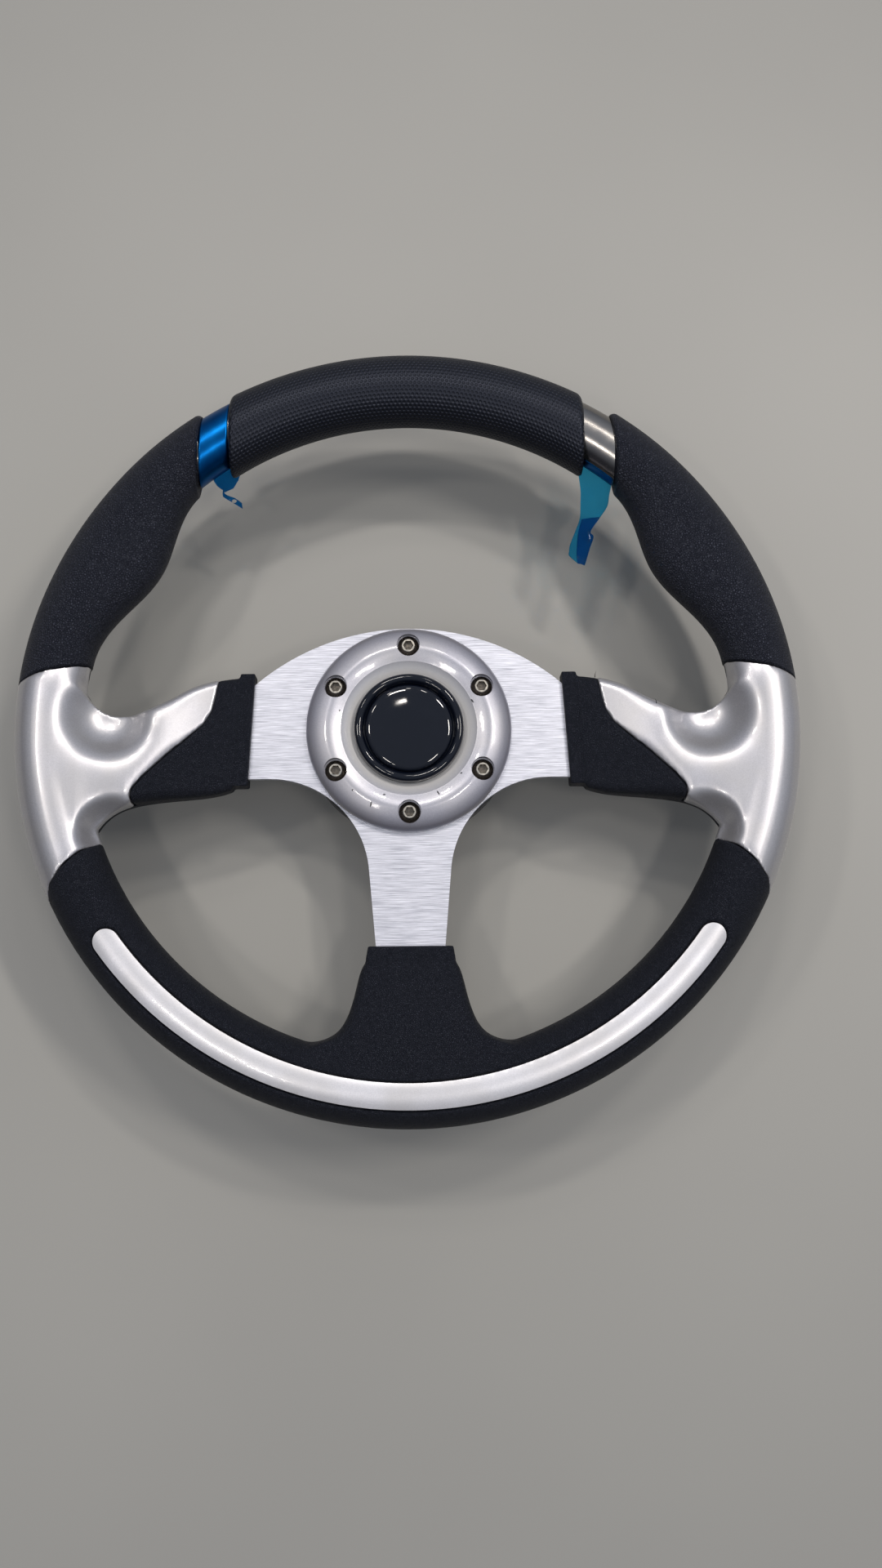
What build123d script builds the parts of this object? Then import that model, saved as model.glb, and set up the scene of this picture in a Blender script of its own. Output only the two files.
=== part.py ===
from build123d import *
import os
from math import acos, atan2, cos, degrees, pi, radians, sin, sqrt

os.makedirs("parts", exist_ok=True)

# Boat steering wheel, lying on the back of its hub with the driver's side up.
# All sizes are millimetres. The origin is the centre of the hub's back face,
# +Z points at the driver and +Y points at twelve o'clock.

# Overall sizes
wheel_diameter = 343.0
rim_width = 29.8
rim_height = 28.4
hub_height = 43.0
plate_thickness = 4.0
rim_rise = 5.0

# Fits between pieces
seat_gap = 0.05
show_gap = 0.3

# Steel bar inside the rim, with its welded tabs and rivets
bar_radius = 5.0
tab_thickness = 3.0
tab_width = 22.0
tab_reach = 32.0
rivet_radius = 2.4
rivet_head_radius = 4.2
rivet_head_height = 1.8
rivet_spread = 6.5
rivet_inset = 23.0

# Spoke plate
spoke_half = 21.3
foot_half = 15.0
plate_crown = 46.0
plate_crown_radius = 104.0
hand_gap_radius = 43.8
boot_start = 66.0
foot_start = 94.8

# Hub fixing circle
pitch_diameter = 74.0
screw_count = 6
screw_radius = 2.5
screw_clearance = 0.25
screw_length = 16.0
screw_head_radius = 4.75
screw_head_height = 2.75
screw_flat_radius = 2.75
screw_recess_radius = 5.1
fixing_edge = 8.3
socket_across_flats = 4.0
socket_depth = 2.0

# Hub trim ring and horn push
trim_height = 7.6
funnel_width = 5.8
ridge_height = 6.6
trim_floor = 3.2
bezel_radius = 24.0
bezel_height = 8.0
bezel_wall = 4.3
bezel_flange = 1.1
barrel_depth = 7.0
lip_width = 1.5
lip_height = 2.6
push_travel = 2.0
push_gap = 0.3
push_crown = 3.0

# Hub boss on the steering shaft
flange_lip = 1.2
flange_thickness = 9.0
boss_radius = 24.5
shaft_large_end = 19.05
shaft_taper = 1 / 12
nose_length = 5.0
nut_room = 4.0
barrel_room = 9.0
key_width = 4.76
key_depth = 2.4
nut_pocket_radius = 17.0

# Grips and bands
top_grip_half = 79.0
band_width = 13.5
top_grip_extra = 2.7
band_drop = 2.6
band_wall = 0.8
palm_depth = 12.0
palm_angle = 32.0
lip_radius = 2.4

# Silver trim
shell_wall = 2.5
collar_width = 6.5
collar_top = 25.4
collar_bottom = 24.6
collar_rise = 3.0
cover_back = 12.8
shell_step = 0.5
foot_collar_half = 18.4
foot_collar_flare = 1.0
shell_back = 3.0
inlay_width = 11.0
inlay_radius = 157.4 / 171.5 * wheel_diameter / 2
inlay_half_angle = 54.0
inlay_depth = 3.0
groove_side = 0.7

# Derived levels and radii
rim_radius = wheel_diameter / 2 - rim_width / 2
plate_top = hub_height + plate_thickness
mid = plate_top + rim_rise
screw_circle = pitch_diameter / 2
trim_radius = screw_circle + fixing_edge
flange_radius = trim_radius + flange_lip
ridge_radius = bezel_radius + funnel_width
barrel_radius = bezel_radius - bezel_flange
centre_hole_radius = barrel_radius + 2 * seat_gap
taper_length = hub_height - barrel_room - nut_room - nose_length
arm_span = rim_radius - boot_start
foot_span = rim_radius - foot_start
rim_inner = rim_radius - rim_width / 2
arm_reach = rim_inner - boot_start
foot_reach = rim_inner - foot_start

# Turned pieces stand on their place or hang from it
up = (Align.CENTER, Align.CENTER, Align.MIN)
down = (Align.CENTER, Align.CENTER, Align.MAX)


def at_angle(radius, angle):
    """Point in plan at a radius and an angle in degrees."""
    return (radius * cos(radians(angle)), radius * sin(radians(angle)))


def block(outline, low, high):
    """Prism with a plan outline between two heights."""
    face = make_face(Polyline(*outline, close=True))
    return Pos(0, 0, low) * extrude(face, high - low)


def turned(profile):
    """Solid of revolution about Z from (radius, height) points."""
    face = Plane.XZ * make_face(Polyline(*profile, close=True))
    return revolve(face, Axis.Z)


def ring_tube(centre, half_width, half_height):
    """Closed ring with an elliptical section, centred on the rim's mid plane."""
    section = Plane.XZ * Pos(centre, mid) * Ellipse(half_width, half_height)
    return revolve(section, Axis.Z)


def mirrored(shape):
    """The same shape on the other side of the wheel."""
    return mirror(shape, about=Plane.YZ)


def save(name, shape):
    """Write one node as a STEP file."""
    export_step(shape, f"parts/{name}.step")


def flat_edges(shape, axis, place):
    """Edges that lie in the plane at a place along one axis."""
    found = []
    for edge in shape.edges():
        box = edge.bounding_box()
        low = getattr(box.min, axis)
        high = getattr(box.max, axis)
        if abs(low - place) < 0.01 and abs(high - place) < 0.01:
            found.append(edge)
    return found


# Plan lines shared by the grips, the shells and the lower rim
upper_line = [
    (rim_radius - 40.0, 34.5),
    (rim_radius - 18.6, 28.6),
    (rim_radius + 2.4, 24.2),
    (rim_radius + 12.9, 20.0),
    (rim_radius + 34.0, 10.0),
]
lower_line = [
    (rim_radius - 29.6, -47.0),
    (rim_radius - 23.6, -50.2),
    (rim_radius - 17.6, -53.7),
    (rim_radius - 9.6, -60.8),
    (rim_radius - 4.1, -68.0),
    (rim_radius - 2.6, -75.0),
    (rim_radius + 1.4, -90.0),
    (rim_radius + 34.0, -100.0),
]
far = rim_radius + 60.0
arm_line = [
    (boot_start + 0.190 * arm_span, 45.0),
    (boot_start + 0.193 * arm_span, 21.5),
    (boot_start + 0.208 * arm_span, 14.0),
    (boot_start + 0.224 * arm_span, 8.2),
    (boot_start + 0.262 * arm_span, 2.4),
    (boot_start + 0.340 * arm_span, -4.6),
    (boot_start + 0.441 * arm_span, -13.3),
    (boot_start + 0.533 * arm_span, -21.7),
    (boot_start + 0.582 * arm_span, -27.0),
    (boot_start + 0.592 * arm_span, -30.0),
    (boot_start + 0.575 * arm_span, -36.0),
    (boot_start + 0.570 * arm_span, -44.0),
]
shell_zone = arm_line + lower_line + upper_line[::-1]
rim_zone = [(rim_radius - 50.0, 34.5), (rim_radius - 50.0, -45.0)] + lower_line + upper_line[::-1]
grip_zone = [(top_grip_half + band_width, 37.0)] + upper_line
grip_zone += [(far, 10.0), (far, far), (top_grip_half + band_width, far)]
lower_zone = lower_line + [(far, -110.0), (far, -far), (-far, -far), (-far, -110.0)]
lower_zone += [(-x, y) for x, y in lower_line[::-1]]

# Arm of the side covers: share of the way to the rim's inner edge, then the section's
# top, bottom, front and back, and its corner radius
arm_stations = [
    (-0.036, 25.0, -23.8, -1.3, -12.8, 3.0),
    (0.156, 23.8, -27.0, -0.6, -12.8, 3.5),
    (0.317, 21.0, -29.9, 1.6, -12.8, 4.5),
    (0.491, 15.0, -31.2, 5.0, -12.8, 5.5),
    (0.658, 8.8, -32.8, 8.2, -12.8, 6.0),
    (0.802, 6.6, -36.2, 9.8, -12.5, 6.0),
    (0.922, 9.6, -45.0, 10.8, -12.0, 6.0),
    (1.100, 26.0, -58.0, 12.4, -10.0, 6.0),
]

# Thumb scoops between arm and rim: distance in from the rim's inner edge, place in Y,
# reach, floor and edge heights over the mid plane, and lean in degrees
thumb_scoops = [
    (10.7, 5.5, 27.0, -1.0, 11.0, 7.5),
    (13.2, -45.5, 20.5, -1.0, 11.6, 9.5),
]

# Foot of the lower rim: share of the way to the rim's inner edge, then the section's
# half width, front and back, and its corner radius
foot_stations = [
    (-0.040, 17.5, -1.3, -12.8, 3.0),
    (0.132, 18.8, -0.8, -12.8, 3.5),
    (0.277, 22.2, 1.0, -12.8, 4.0),
    (0.435, 24.0, 3.0, -12.8, 5.0),
    (0.567, 25.8, 4.8, -12.8, 5.5),
    (0.685, 28.2, 6.5, -12.8, 6.0),
    (0.790, 32.4, 7.9, -12.6, 6.0),
    (0.870, 42.0, 8.9, -11.5, 6.0),
    (1.000, 48.0, 10.4, -10.5, 6.0),
    (1.170, 52.0, 12.4, -10.0, 6.0),
]


def arm_body(inset):
    """Soft arm from the spoke to the rim, lofted through rounded sections."""
    sections = []
    for share, top, bottom, front, back, corner in arm_stations:
        x = boot_start + share * arm_reach
        y = (top + bottom) / 2
        z = mid + (front + back) / 2
        place = Plane((x, y, z), x_dir=(0, 1, 0), z_dir=(1, 0, 0))
        wide = top - bottom - 2 * inset
        tall = front - back - 2 * inset
        round_off = max(corner - inset, 0.8)
        sections.append(place * RectangleRounded(wide, tall, round_off))
    return loft(sections)


def foot_body():
    """Soft foot from the lower spoke to the rim."""
    sections = []
    for share, half, front, back, corner in foot_stations:
        y = -(foot_start + share * foot_reach)
        z = mid + (front + back) / 2
        place = Plane((0, y, z), x_dir=(1, 0, 0), z_dir=(0, -1, 0))
        sections.append(place * RectangleRounded(2 * half, front - back, corner))
    return loft(sections)


def bell(reach, floor, edge):
    """Round hollow with a level floor and a level edge, open upwards."""
    outline = Bezier((0, floor), (0.52 * reach, floor), (0.55 * reach, edge), (reach, edge))
    outline += Line((reach, edge), (reach, 2 * rim_height))
    outline += Line((reach, 2 * rim_height), (0, 2 * rim_height))
    outline += Line((0, 2 * rim_height), (0, floor))
    return revolve(Plane.XZ * make_face(outline), Axis.Z)


def scoops(inset):
    """Both thumb scoops, each leaning from the rim's crest towards the hub."""
    hollows = []
    for setback, y, reach, floor, edge, lean in thumb_scoops:
        x = rim_inner - setback
        bearing = degrees(atan2(y, x))
        place = Pos(x, y, mid) * Rot(0, 0, bearing) * Rot(0, -lean, 0)
        hollows.append(place * bell(reach, floor - inset, edge - inset))
    return hollows[0] + hollows[1]


def side_body(inset):
    """Rim and arm of one side cover before it is parted."""
    rim = ring_tube(rim_radius, rim_width / 2 - inset, rim_height / 2 - inset)
    rim = rim & block(rim_zone, mid - 40, mid + 40)
    cover = rim + arm_body(inset) - scoops(inset)
    return cover - block(lower_zone, 0, mid + 40) - block(grip_zone, 0, mid + 40)


def palm_bulge(angle):
    """Depth of the palm swelling at an angle round the rim."""
    reach = 18.0 if angle > palm_angle else 19.5
    turn = (angle - palm_angle) / reach
    if abs(turn) >= 1:
        return 0.0
    return palm_depth * (1 + cos(pi * turn)) / 2


# Spoke plate
def spoke_outline():
    """Half outline of the plate from twelve o'clock to the lower spoke."""
    crown_centre = plate_crown - plate_crown_radius
    crown = []
    for x in (0.0, 12.0, 24.0, 36.0, 48.0, 60.0, 68.0):
        crown.append((x, crown_centre + sqrt(plate_crown_radius ** 2 - x ** 2)))
    arm = [
        (boot_start + 6.0, spoke_half - 2.0),
        (boot_start + 0.20 * arm_span, 17.0),
        (boot_start + 0.45 * arm_span, 6.0),
        (boot_start + 0.65 * arm_span, -2.0),
        (rim_radius - 6.0, -3.0),
        (rim_radius - 6.0, -28.0),
        (boot_start + 0.65 * arm_span, -29.0),
        (boot_start + 0.20 * arm_span, -24.5),
        (boot_start + 6.0, -spoke_half),
    ]
    gap = []
    gap_x = foot_half + 2.7 + hand_gap_radius
    gap_y = -spoke_half + 0.1 - hand_gap_radius
    for step in range(0, 11):
        angle = 90.0 + step * 8.7
        x = gap_x + hand_gap_radius * cos(radians(angle))
        y = gap_y + hand_gap_radius * sin(radians(angle))
        gap.append((x, y))
    foot = [
        (foot_half, -foot_start),
        (foot_half - 2.0, -(rim_radius - 6.0)),
    ]
    return crown, arm, gap, foot


crown, arm, gap, foot = spoke_outline()
right_side = Polyline(*arm)
half_line = Spline(*crown)
half_line += Line(crown[-1], arm[0])
half_line += right_side
half_line += Line(arm[-1], gap[0])
half_line += Spline(*gap)
half_line += Line(gap[-1], foot[0])
half_line += Line(foot[0], foot[1])
half_line += Line(foot[1], (0, foot[1][1]))
half_line += Line((0, foot[1][1]), (0, crown[0][1]))
half_plate = extrude(make_face(half_line), plate_thickness)
plate_blank = Pos(0, 0, hub_height) * (half_plate + mirrored(half_plate))
plate = plate_blank - Pos(0, 0, hub_height) * Cylinder(centre_hole_radius, 3 * plate_thickness)
for number in range(screw_count):
    x, y = at_angle(screw_circle, 90 + number * 360 / screw_count)
    plate -= Pos(x, y, hub_height) * Cylinder(screw_radius + screw_clearance, 3 * plate_thickness)

# Rivet places, two across each spoke
arm_middle = -15.5
rivet_places = []
for spread in (-rivet_spread, rivet_spread):
    rivet_places.append((rim_radius - rivet_inset, arm_middle + spread))
    rivet_places.append((-(rim_radius - rivet_inset), arm_middle + spread))
    rivet_places.append((spread, -(rim_radius - rivet_inset)))
for x, y in rivet_places:
    plate -= Pos(x, y, hub_height) * Cylinder(rivet_radius + seat_gap, 3 * plate_thickness)
save("spoke_plate", plate)


# Rim bar with three welded tabs
def tab_slab(grow):
    """The three flat tabs, grown by a gap on every side."""
    low = plate_top - grow
    high = plate_top + tab_thickness + grow
    half = tab_width / 2 + grow
    inner = rim_radius - tab_reach - grow
    side = [
        (inner, arm_middle - half),
        (rim_radius, arm_middle - half),
        (rim_radius, arm_middle + half),
        (inner, arm_middle + half),
    ]
    lower = [(-half, -inner), (-half, -rim_radius), (half, -rim_radius), (half, -inner)]
    slab = block(side, low, high)
    return slab + mirrored(slab) + block(lower, low, high)


bar = Pos(0, 0, mid) * Torus(rim_radius, bar_radius)
armature = bar + tab_slab(0)
for x, y in rivet_places:
    armature -= Pos(x, y, plate_top) * Cylinder(rivet_radius + seat_gap, 3 * tab_thickness)
armature -= block([(-far, -far), (far, -far), (far, far), (-far, far)], plate_top - 9, plate_top)
save("rim_bar", armature)


# Rivets
def rivet(radius, head_radius, head_height, reach):
    """Round-headed rivet through the plate and the tab."""
    low = hub_height - reach
    high = plate_top + tab_thickness + reach
    shank = Pos(0, 0, (low + high) / 2) * Cylinder(radius, high - low)
    upper = Pos(0, 0, high) * Cylinder(head_radius, head_height, align=up)
    lower = Pos(0, 0, low) * Cylinder(head_radius, head_height, align=down)
    return shank + upper + lower


one_rivet = rivet(rivet_radius, rivet_head_radius, rivet_head_height, 0)
rims = one_rivet.edges().filter_by(GeomType.CIRCLE).filter_by(
    lambda edge: abs(edge.radius - rivet_head_radius) < 0.01)
outer_rims = [rims.sort_by(Axis.Z)[0], rims.sort_by(Axis.Z)[-1]]
one_rivet = fillet(outer_rims, rivet_head_height * 0.6)
rivets = Compound(children=[Pos(x, y, 0) * one_rivet for x, y in rivet_places])
save("spoke_rivets", rivets)

# Room for the armature inside the soft parts
bar_room = Pos(0, 0, mid) * Torus(rim_radius, bar_radius + seat_gap)
head_room = rivet(rivet_radius, rivet_head_radius + seat_gap, rivet_head_height + seat_gap, 0)


def hollow_out(shape, spots):
    """Cut the room for bar, plate, tabs and rivet heads out of a soft part."""
    shape = shape - bar_room - plate_blank - tab_slab(seat_gap)
    for x, y in spots:
        shape = shape - Pos(x, y, 0) * head_room
    return shape


# Top grip, thicker towards the driver's palm, with a neck under each band
grip_outer = wheel_diameter / 2
grip_inner = rim_radius - rim_width / 2 - top_grip_extra
top_centre = (grip_outer + grip_inner) / 2
top_half = (grip_outer - grip_inner) / 2
band_middle = top_grip_half + band_width / 2
top_slot = block(
    [(-top_grip_half, 0), (top_grip_half, 0), (top_grip_half, far), (-top_grip_half, far)], 0, mid + 40)
top_grip = ring_tube(top_centre, top_half, rim_height / 2) & top_slot
ends = flat_edges(top_grip, "X", top_grip_half) + flat_edges(top_grip, "X", -top_grip_half)
top_grip = fillet(ends, lip_radius)
neck_half = rim_width / 2 - band_drop - band_wall - seat_gap
neck_height = rim_height / 2 - band_drop - band_wall - seat_gap
neck = ring_tube(rim_radius, neck_half, neck_height)


def between(low, high):
    """Upright slice of space between two X values, above the hub."""
    return block([(low, 0), (high, 0), (high, far), (low, far)], 0, mid + 40)


neck_end = band_middle - seat_gap / 2
top_grip = top_grip + (neck & between(top_grip_half - 1.0, neck_end))
top_grip = top_grip + (neck & between(-neck_end, 1.0 - top_grip_half))
top_grip = top_grip - bar_room
save("top_grip", top_grip)

# Polished bands over the necks
band_outer = rim_width / 2 - band_drop
band_outer_height = rim_height / 2 - band_drop
band = ring_tube(rim_radius, band_outer, band_outer_height)
band = band - ring_tube(rim_radius, band_outer - band_wall, band_outer_height - band_wall)
band = band & between(top_grip_half + seat_gap, top_grip_half + band_width - seat_gap)
save("right_band", band)
save("left_band", mirrored(band))


# Side grips with the palm swelling
def side_grip_solid():
    """Side grip lofted through elliptical sections round the rim."""
    sections = []
    first = 2.0
    last = degrees(acos(top_grip_half / grip_outer))
    for step in range(0, 17):
        angle = first + (last - first) * step / 16
        inner = rim_radius - rim_width / 2 - palm_bulge(angle)
        centre = (grip_outer + inner) / 2
        x, y = at_angle(centre, angle)
        place = Plane(
            (x, y, mid),
            x_dir=(cos(radians(angle)), sin(radians(angle)), 0),
            z_dir=(-sin(radians(angle)), cos(radians(angle)), 0))
        sections.append(place * Ellipse((grip_outer - inner) / 2, rim_height / 2))
    return loft(sections)


side_grip = side_grip_solid() & block(grip_zone, 0, mid + 40)
side_grip = fillet(flat_edges(side_grip, "X", top_grip_half + band_width), lip_radius)
neck_start = band_middle + seat_gap / 2
side_grip = side_grip + (neck & between(neck_start, top_grip_half + band_width + 1.0))
side_grip = side_grip - bar_room
save("right_grip", side_grip)
save("left_grip", mirrored(side_grip))

# Side covers, parted into a black body and a silver shell
cover = side_body(0)
core = side_body(shell_wall)
front_region = block(shell_zone, mid - shell_back, mid + 40)
boot_shape = side_body(shell_step) - front_region + (core & front_region)
boot_edge = [(boot_start + 0.7, 40.0), (boot_start + 6.0, -45.0)]
collar_edge = [(x + collar_width, y) for x, y in boot_edge]
skew = block(boot_edge + [(far, -90.0), (far, 40.0)], 0, mid + 40)
collar_strip = block(
    collar_edge + [(boot_start - 20.0, -45.0), (boot_start - 20.0, 40.0)], 0, mid + 40)
collar_slab = block([
    (boot_start - 8.0, collar_top),
    (boot_start + 20.0, collar_top),
    (boot_start + 20.0, -collar_bottom),
    (boot_start - 8.0, -collar_bottom),
], mid - cover_back, plate_top + collar_rise)
boot_shape = (boot_shape - collar_strip) + (collar_slab & collar_strip)
boot_shape = boot_shape & skew
boot = hollow_out(boot_shape, [(rim_radius - rivet_inset, arm_middle + rivet_spread),
                               (rim_radius - rivet_inset, arm_middle - rivet_spread)])
save("right_boot", boot)
save("left_boot", mirrored(boot))
shell = (cover & front_region) - side_body(shell_wall - seat_gap) - bar_room
save("right_shell", shell)
save("left_shell", mirrored(shell))

# Lower rim with its foot and the groove for the inlay
lower_rim = ring_tube(rim_radius, rim_width / 2, rim_height / 2) & block(lower_zone, 0, mid + 40)
lower_rim = lower_rim + foot_body()
collar_end = -(foot_start + collar_width)
lower_rim -= block(
    [(-foot_span, collar_end), (foot_span, collar_end), (foot_span, 0), (-foot_span, 0)], 0, mid + 40)
lower_rim += block([
    (-foot_collar_half, -foot_start),
    (foot_collar_half, -foot_start),
    (foot_collar_half + foot_collar_flare, collar_end),
    (-foot_collar_half - foot_collar_flare, collar_end),
], mid - cover_back, plate_top + collar_rise)


def arc_slot(radius, width, half_angle):
    """Plan outline of a curved slot with round ends, centred at six o'clock."""
    outer = radius + width / 2
    inner = radius - width / 2
    start = 270 - half_angle
    stop = 270 + half_angle
    line = ThreePointArc(at_angle(outer, start), at_angle(outer, 270), at_angle(outer, stop))
    line += ThreePointArc(at_angle(inner, start), at_angle(inner, 270), at_angle(inner, stop))
    turn = degrees(width / 2 / radius)
    line += ThreePointArc(at_angle(outer, start), at_angle(radius, start - turn), at_angle(inner, start))
    line += ThreePointArc(at_angle(outer, stop), at_angle(radius, stop + turn), at_angle(inner, stop))
    return make_face(line)


groove = Pos(0, 0, mid) * extrude(
    arc_slot(inlay_radius, inlay_width + 2 * groove_side, inlay_half_angle), 40)
groove = groove - ring_tube(
    rim_radius, rim_width / 2 - inlay_depth - seat_gap, rim_height / 2 - inlay_depth - seat_gap)
lower_rim = lower_rim - groove
lower_spots = [(rivet_spread, -(rim_radius - rivet_inset)), (-rivet_spread, -(rim_radius - rivet_inset))]
lower_rim = hollow_out(lower_rim, lower_spots)
save("lower_rim", lower_rim)

inlay = Pos(0, 0, mid) * extrude(arc_slot(inlay_radius, inlay_width, inlay_half_angle), 40)
inlay = inlay & ring_tube(rim_radius, rim_width / 2, rim_height / 2)
inlay = inlay - ring_tube(rim_radius, rim_width / 2 - inlay_depth, rim_height / 2 - inlay_depth)
save("lower_inlay", inlay)

# Hub trim ring, a domed ring with six recesses and a funnel to the horn push
def trim_section():
    """Half section of the trim ring from (radius, height over the plate) points."""
    outline = Line((trim_radius, 0), (trim_radius, 1.2))
    shoulder = (trim_radius - 1.7, 0.65 * trim_height)
    crest = (screw_circle + 0.5, trim_height)
    outline += Spline((trim_radius, 1.2), shoulder, crest, (ridge_radius, ridge_height),
                      tangents=[(0, 1), (-1, -0.35)])
    outline += Line((ridge_radius, ridge_height), (bezel_radius + 1.0, 3.4))
    outline += Line((bezel_radius + 1.0, 3.4), (bezel_radius + seat_gap, 2.9))
    outline += Line((bezel_radius + seat_gap, 2.9), (bezel_radius + seat_gap, 0))
    outline += Line((bezel_radius + seat_gap, 0), (trim_radius, 0))
    return outline


trim = Pos(0, 0, plate_top) * revolve(Plane.XZ * make_face(trim_section()), Axis.Z)
trim_pocket = turned([
    (ridge_radius - 2.0, plate_top),
    (trim_radius - 2.5, plate_top),
    (trim_radius - 3.4, plate_top + 2.6),
    (screw_circle + 0.5, plate_top + trim_height - 3.0),
    (ridge_radius, plate_top + ridge_height - 3.0),
    (ridge_radius - 2.0, plate_top + 2.0),
])
screw_places = []
for number in range(screw_count):
    screw_places.append(at_angle(screw_circle, 90 + number * 360 / screw_count))
for x, y in screw_places:
    trim_pocket -= Pos(x, y, plate_top) * Cylinder(screw_recess_radius + 2.0, 3 * trim_height)
trim = trim - trim_pocket
for x, y in screw_places:
    trim -= Pos(x, y, plate_top + trim_floor) * Cylinder(screw_recess_radius, trim_height, align=up)
    trim -= Pos(x, y, plate_top) * Cylinder(screw_radius + screw_clearance, 3 * trim_floor)
save("hub_trim", trim)


# Six button-head socket screws
def button_screw():
    """Button-head screw with a flat top, seat of the head at the origin, point down."""
    spare = screw_head_radius ** 2 - screw_flat_radius ** 2 - screw_head_height ** 2
    dome_depth = spare / (2 * screw_head_height)
    dome_radius = sqrt(screw_head_radius ** 2 + dome_depth ** 2)
    dome = Pos(0, 0, -dome_depth) * Sphere(dome_radius)
    head = dome & Cylinder(screw_head_radius, screw_head_height, align=up)
    shank = Cylinder(screw_radius, screw_length, align=down)
    socket = Pos(0, 0, screw_head_height) * extrude(
        RegularPolygon(socket_across_flats / 2, 6, major_radius=False), -socket_depth)
    point = shank.edges().sort_by(Axis.Z)[0]
    shank = chamfer(point, screw_radius * 0.3)
    return head + shank - socket


screw = button_screw()
screws = Compound(children=[Pos(x, y, plate_top + trim_floor) * screw for x, y in screw_places])
save("hub_screws", screws)

# Horn bezel with a round crest, snapped into the plate's centre hole
barrel_low = plate_top - barrel_depth
bezel_inner = bezel_radius - bezel_wall
socket_radius = bezel_inner + lip_width
push_radius = bezel_inner - push_gap
crest_radius = bezel_radius - 2.0


def bezel_section():
    """Half section of the bezel, heights over the plate's front."""
    outline = Line((bezel_radius, 0), (bezel_radius, bezel_height - 2.6))
    inner_fall = (crest_radius - 1.9, bezel_height - 1.6)
    outline += ThreePointArc((bezel_radius, bezel_height - 2.6), (crest_radius, bezel_height), inner_fall)
    outline += Line(inner_fall, (bezel_inner, bezel_height - 2.0))
    outline += Line((bezel_inner, bezel_height - 2.0), (bezel_inner, lip_height))
    outline += Line((bezel_inner, lip_height), (socket_radius, lip_height))
    outline += Line((socket_radius, lip_height), (socket_radius, -barrel_depth))
    outline += Line((socket_radius, -barrel_depth), (barrel_radius, -barrel_depth))
    outline += Line((barrel_radius, -barrel_depth), (barrel_radius, 0))
    outline += Line((barrel_radius, 0), (bezel_radius, 0))
    return outline


bezel = Pos(0, 0, plate_top) * revolve(Plane.XZ * make_face(bezel_section()), Axis.Z)
save("horn_bezel", bezel)

# Horn push, a domed cap with a skirt and a retaining rim
rim_top = lip_height - seat_gap
rim_bottom = rim_top - 1.4
push_edge = bezel_height - 2.2
push_roof = push_edge - 1.4
skirt_wall = 1.6
keeper_radius = push_radius + lip_width


def push_section():
    """Half section of the domed push, heights over the plate's front."""
    top = push_edge + push_crown
    inside = push_radius - skirt_wall
    flat = (0.46 * push_radius, top - 0.12 * push_crown)
    turn = (0.77 * push_radius, top - 0.4 * push_crown)
    outline = Spline((0, top), flat, turn, (push_radius, push_edge), tangents=[(1, 0), (0.35, -1)])
    outline += Line((push_radius, push_edge), (push_radius, rim_top))
    outline += Line((push_radius, rim_top), (keeper_radius, rim_top))
    outline += Line((keeper_radius, rim_top), (keeper_radius, rim_bottom))
    outline += Line((keeper_radius, rim_bottom), (inside, rim_bottom))
    outline += Line((inside, rim_bottom), (inside, push_roof))
    outline += Line((inside, push_roof), (0, push_roof))
    outline += Line((0, push_roof), (0, top))
    return outline


push = Pos(0, 0, plate_top) * revolve(Plane.XZ * make_face(push_section()), Axis.Z)
push_under = plate_top + push_roof
save("horn_push", push)
contact_thickness = 0.8
contact_radius = push_radius - skirt_wall - 3.8
contact_plate = Pos(0, 0, push_under) * Cylinder(contact_radius, contact_thickness, align=down)
contact_plate -= Pos(0, 0, push_under) * Cylinder(4.0, contact_thickness, align=down)
save("contact_plate", contact_plate)

# Base of the horn push with its spring seat, closing the bezel from behind
base_radius = socket_radius - seat_gap
base_top = barrel_low + 3.0
base = Pos(0, 0, base_top) * Cylinder(base_radius, 3.0, align=down)
spring_radius = 7.0
wire_radius = 0.5
base += Pos(0, 0, base_top) * Cylinder(spring_radius - wire_radius - show_gap, 2.0, align=up)
contact_post = contact_radius - 2.5
for side in (-1, 1):
    base -= Pos(side * contact_post, 0, base_top) * Cylinder(1.5 + seat_gap, 20.0)
base = fillet(base.edges().sort_by(Axis.Z)[-1], 0.8)
save("horn_base", base)

# Two rivet-like terminals through the base
blade_length = 4.0
contact_top = push_under - contact_thickness - push_travel - seat_gap
terminals = []
for side in (-1, 1):
    post_top = contact_top if side > 0 else base_top + 1.0
    post = Pos(side * contact_post, 0, post_top) * Cylinder(1.5, post_top - barrel_low + 1.5, align=down)
    collar = Pos(side * contact_post, 0, base_top) * Cylinder(2.4, 0.8, align=up)
    blade = Pos(side * contact_post, 0, barrel_low - 1.2) * Box(4.8, 0.8, blade_length, align=down)
    foot_disc = Pos(side * contact_post, 0, barrel_low) * Cylinder(2.6, 1.2, align=down)
    terminals.append(post + collar + blade + foot_disc)
save("horn_terminals", Compound(children=terminals))

# Coil spring between the base and the moving contact plate, at its rest length
spring_low = base_top + wire_radius + seat_gap
spring_high = push_under - contact_thickness - wire_radius - seat_gap
turns = 3.5
spring_path = Helix((spring_high - spring_low) / turns, spring_high - spring_low, spring_radius)
spring_wire = Plane(origin=spring_path @ 0, z_dir=spring_path % 0) * Circle(wire_radius)
spring = Pos(0, 0, spring_low) * sweep(spring_wire, path=spring_path)
save("horn_spring", spring)

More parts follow.
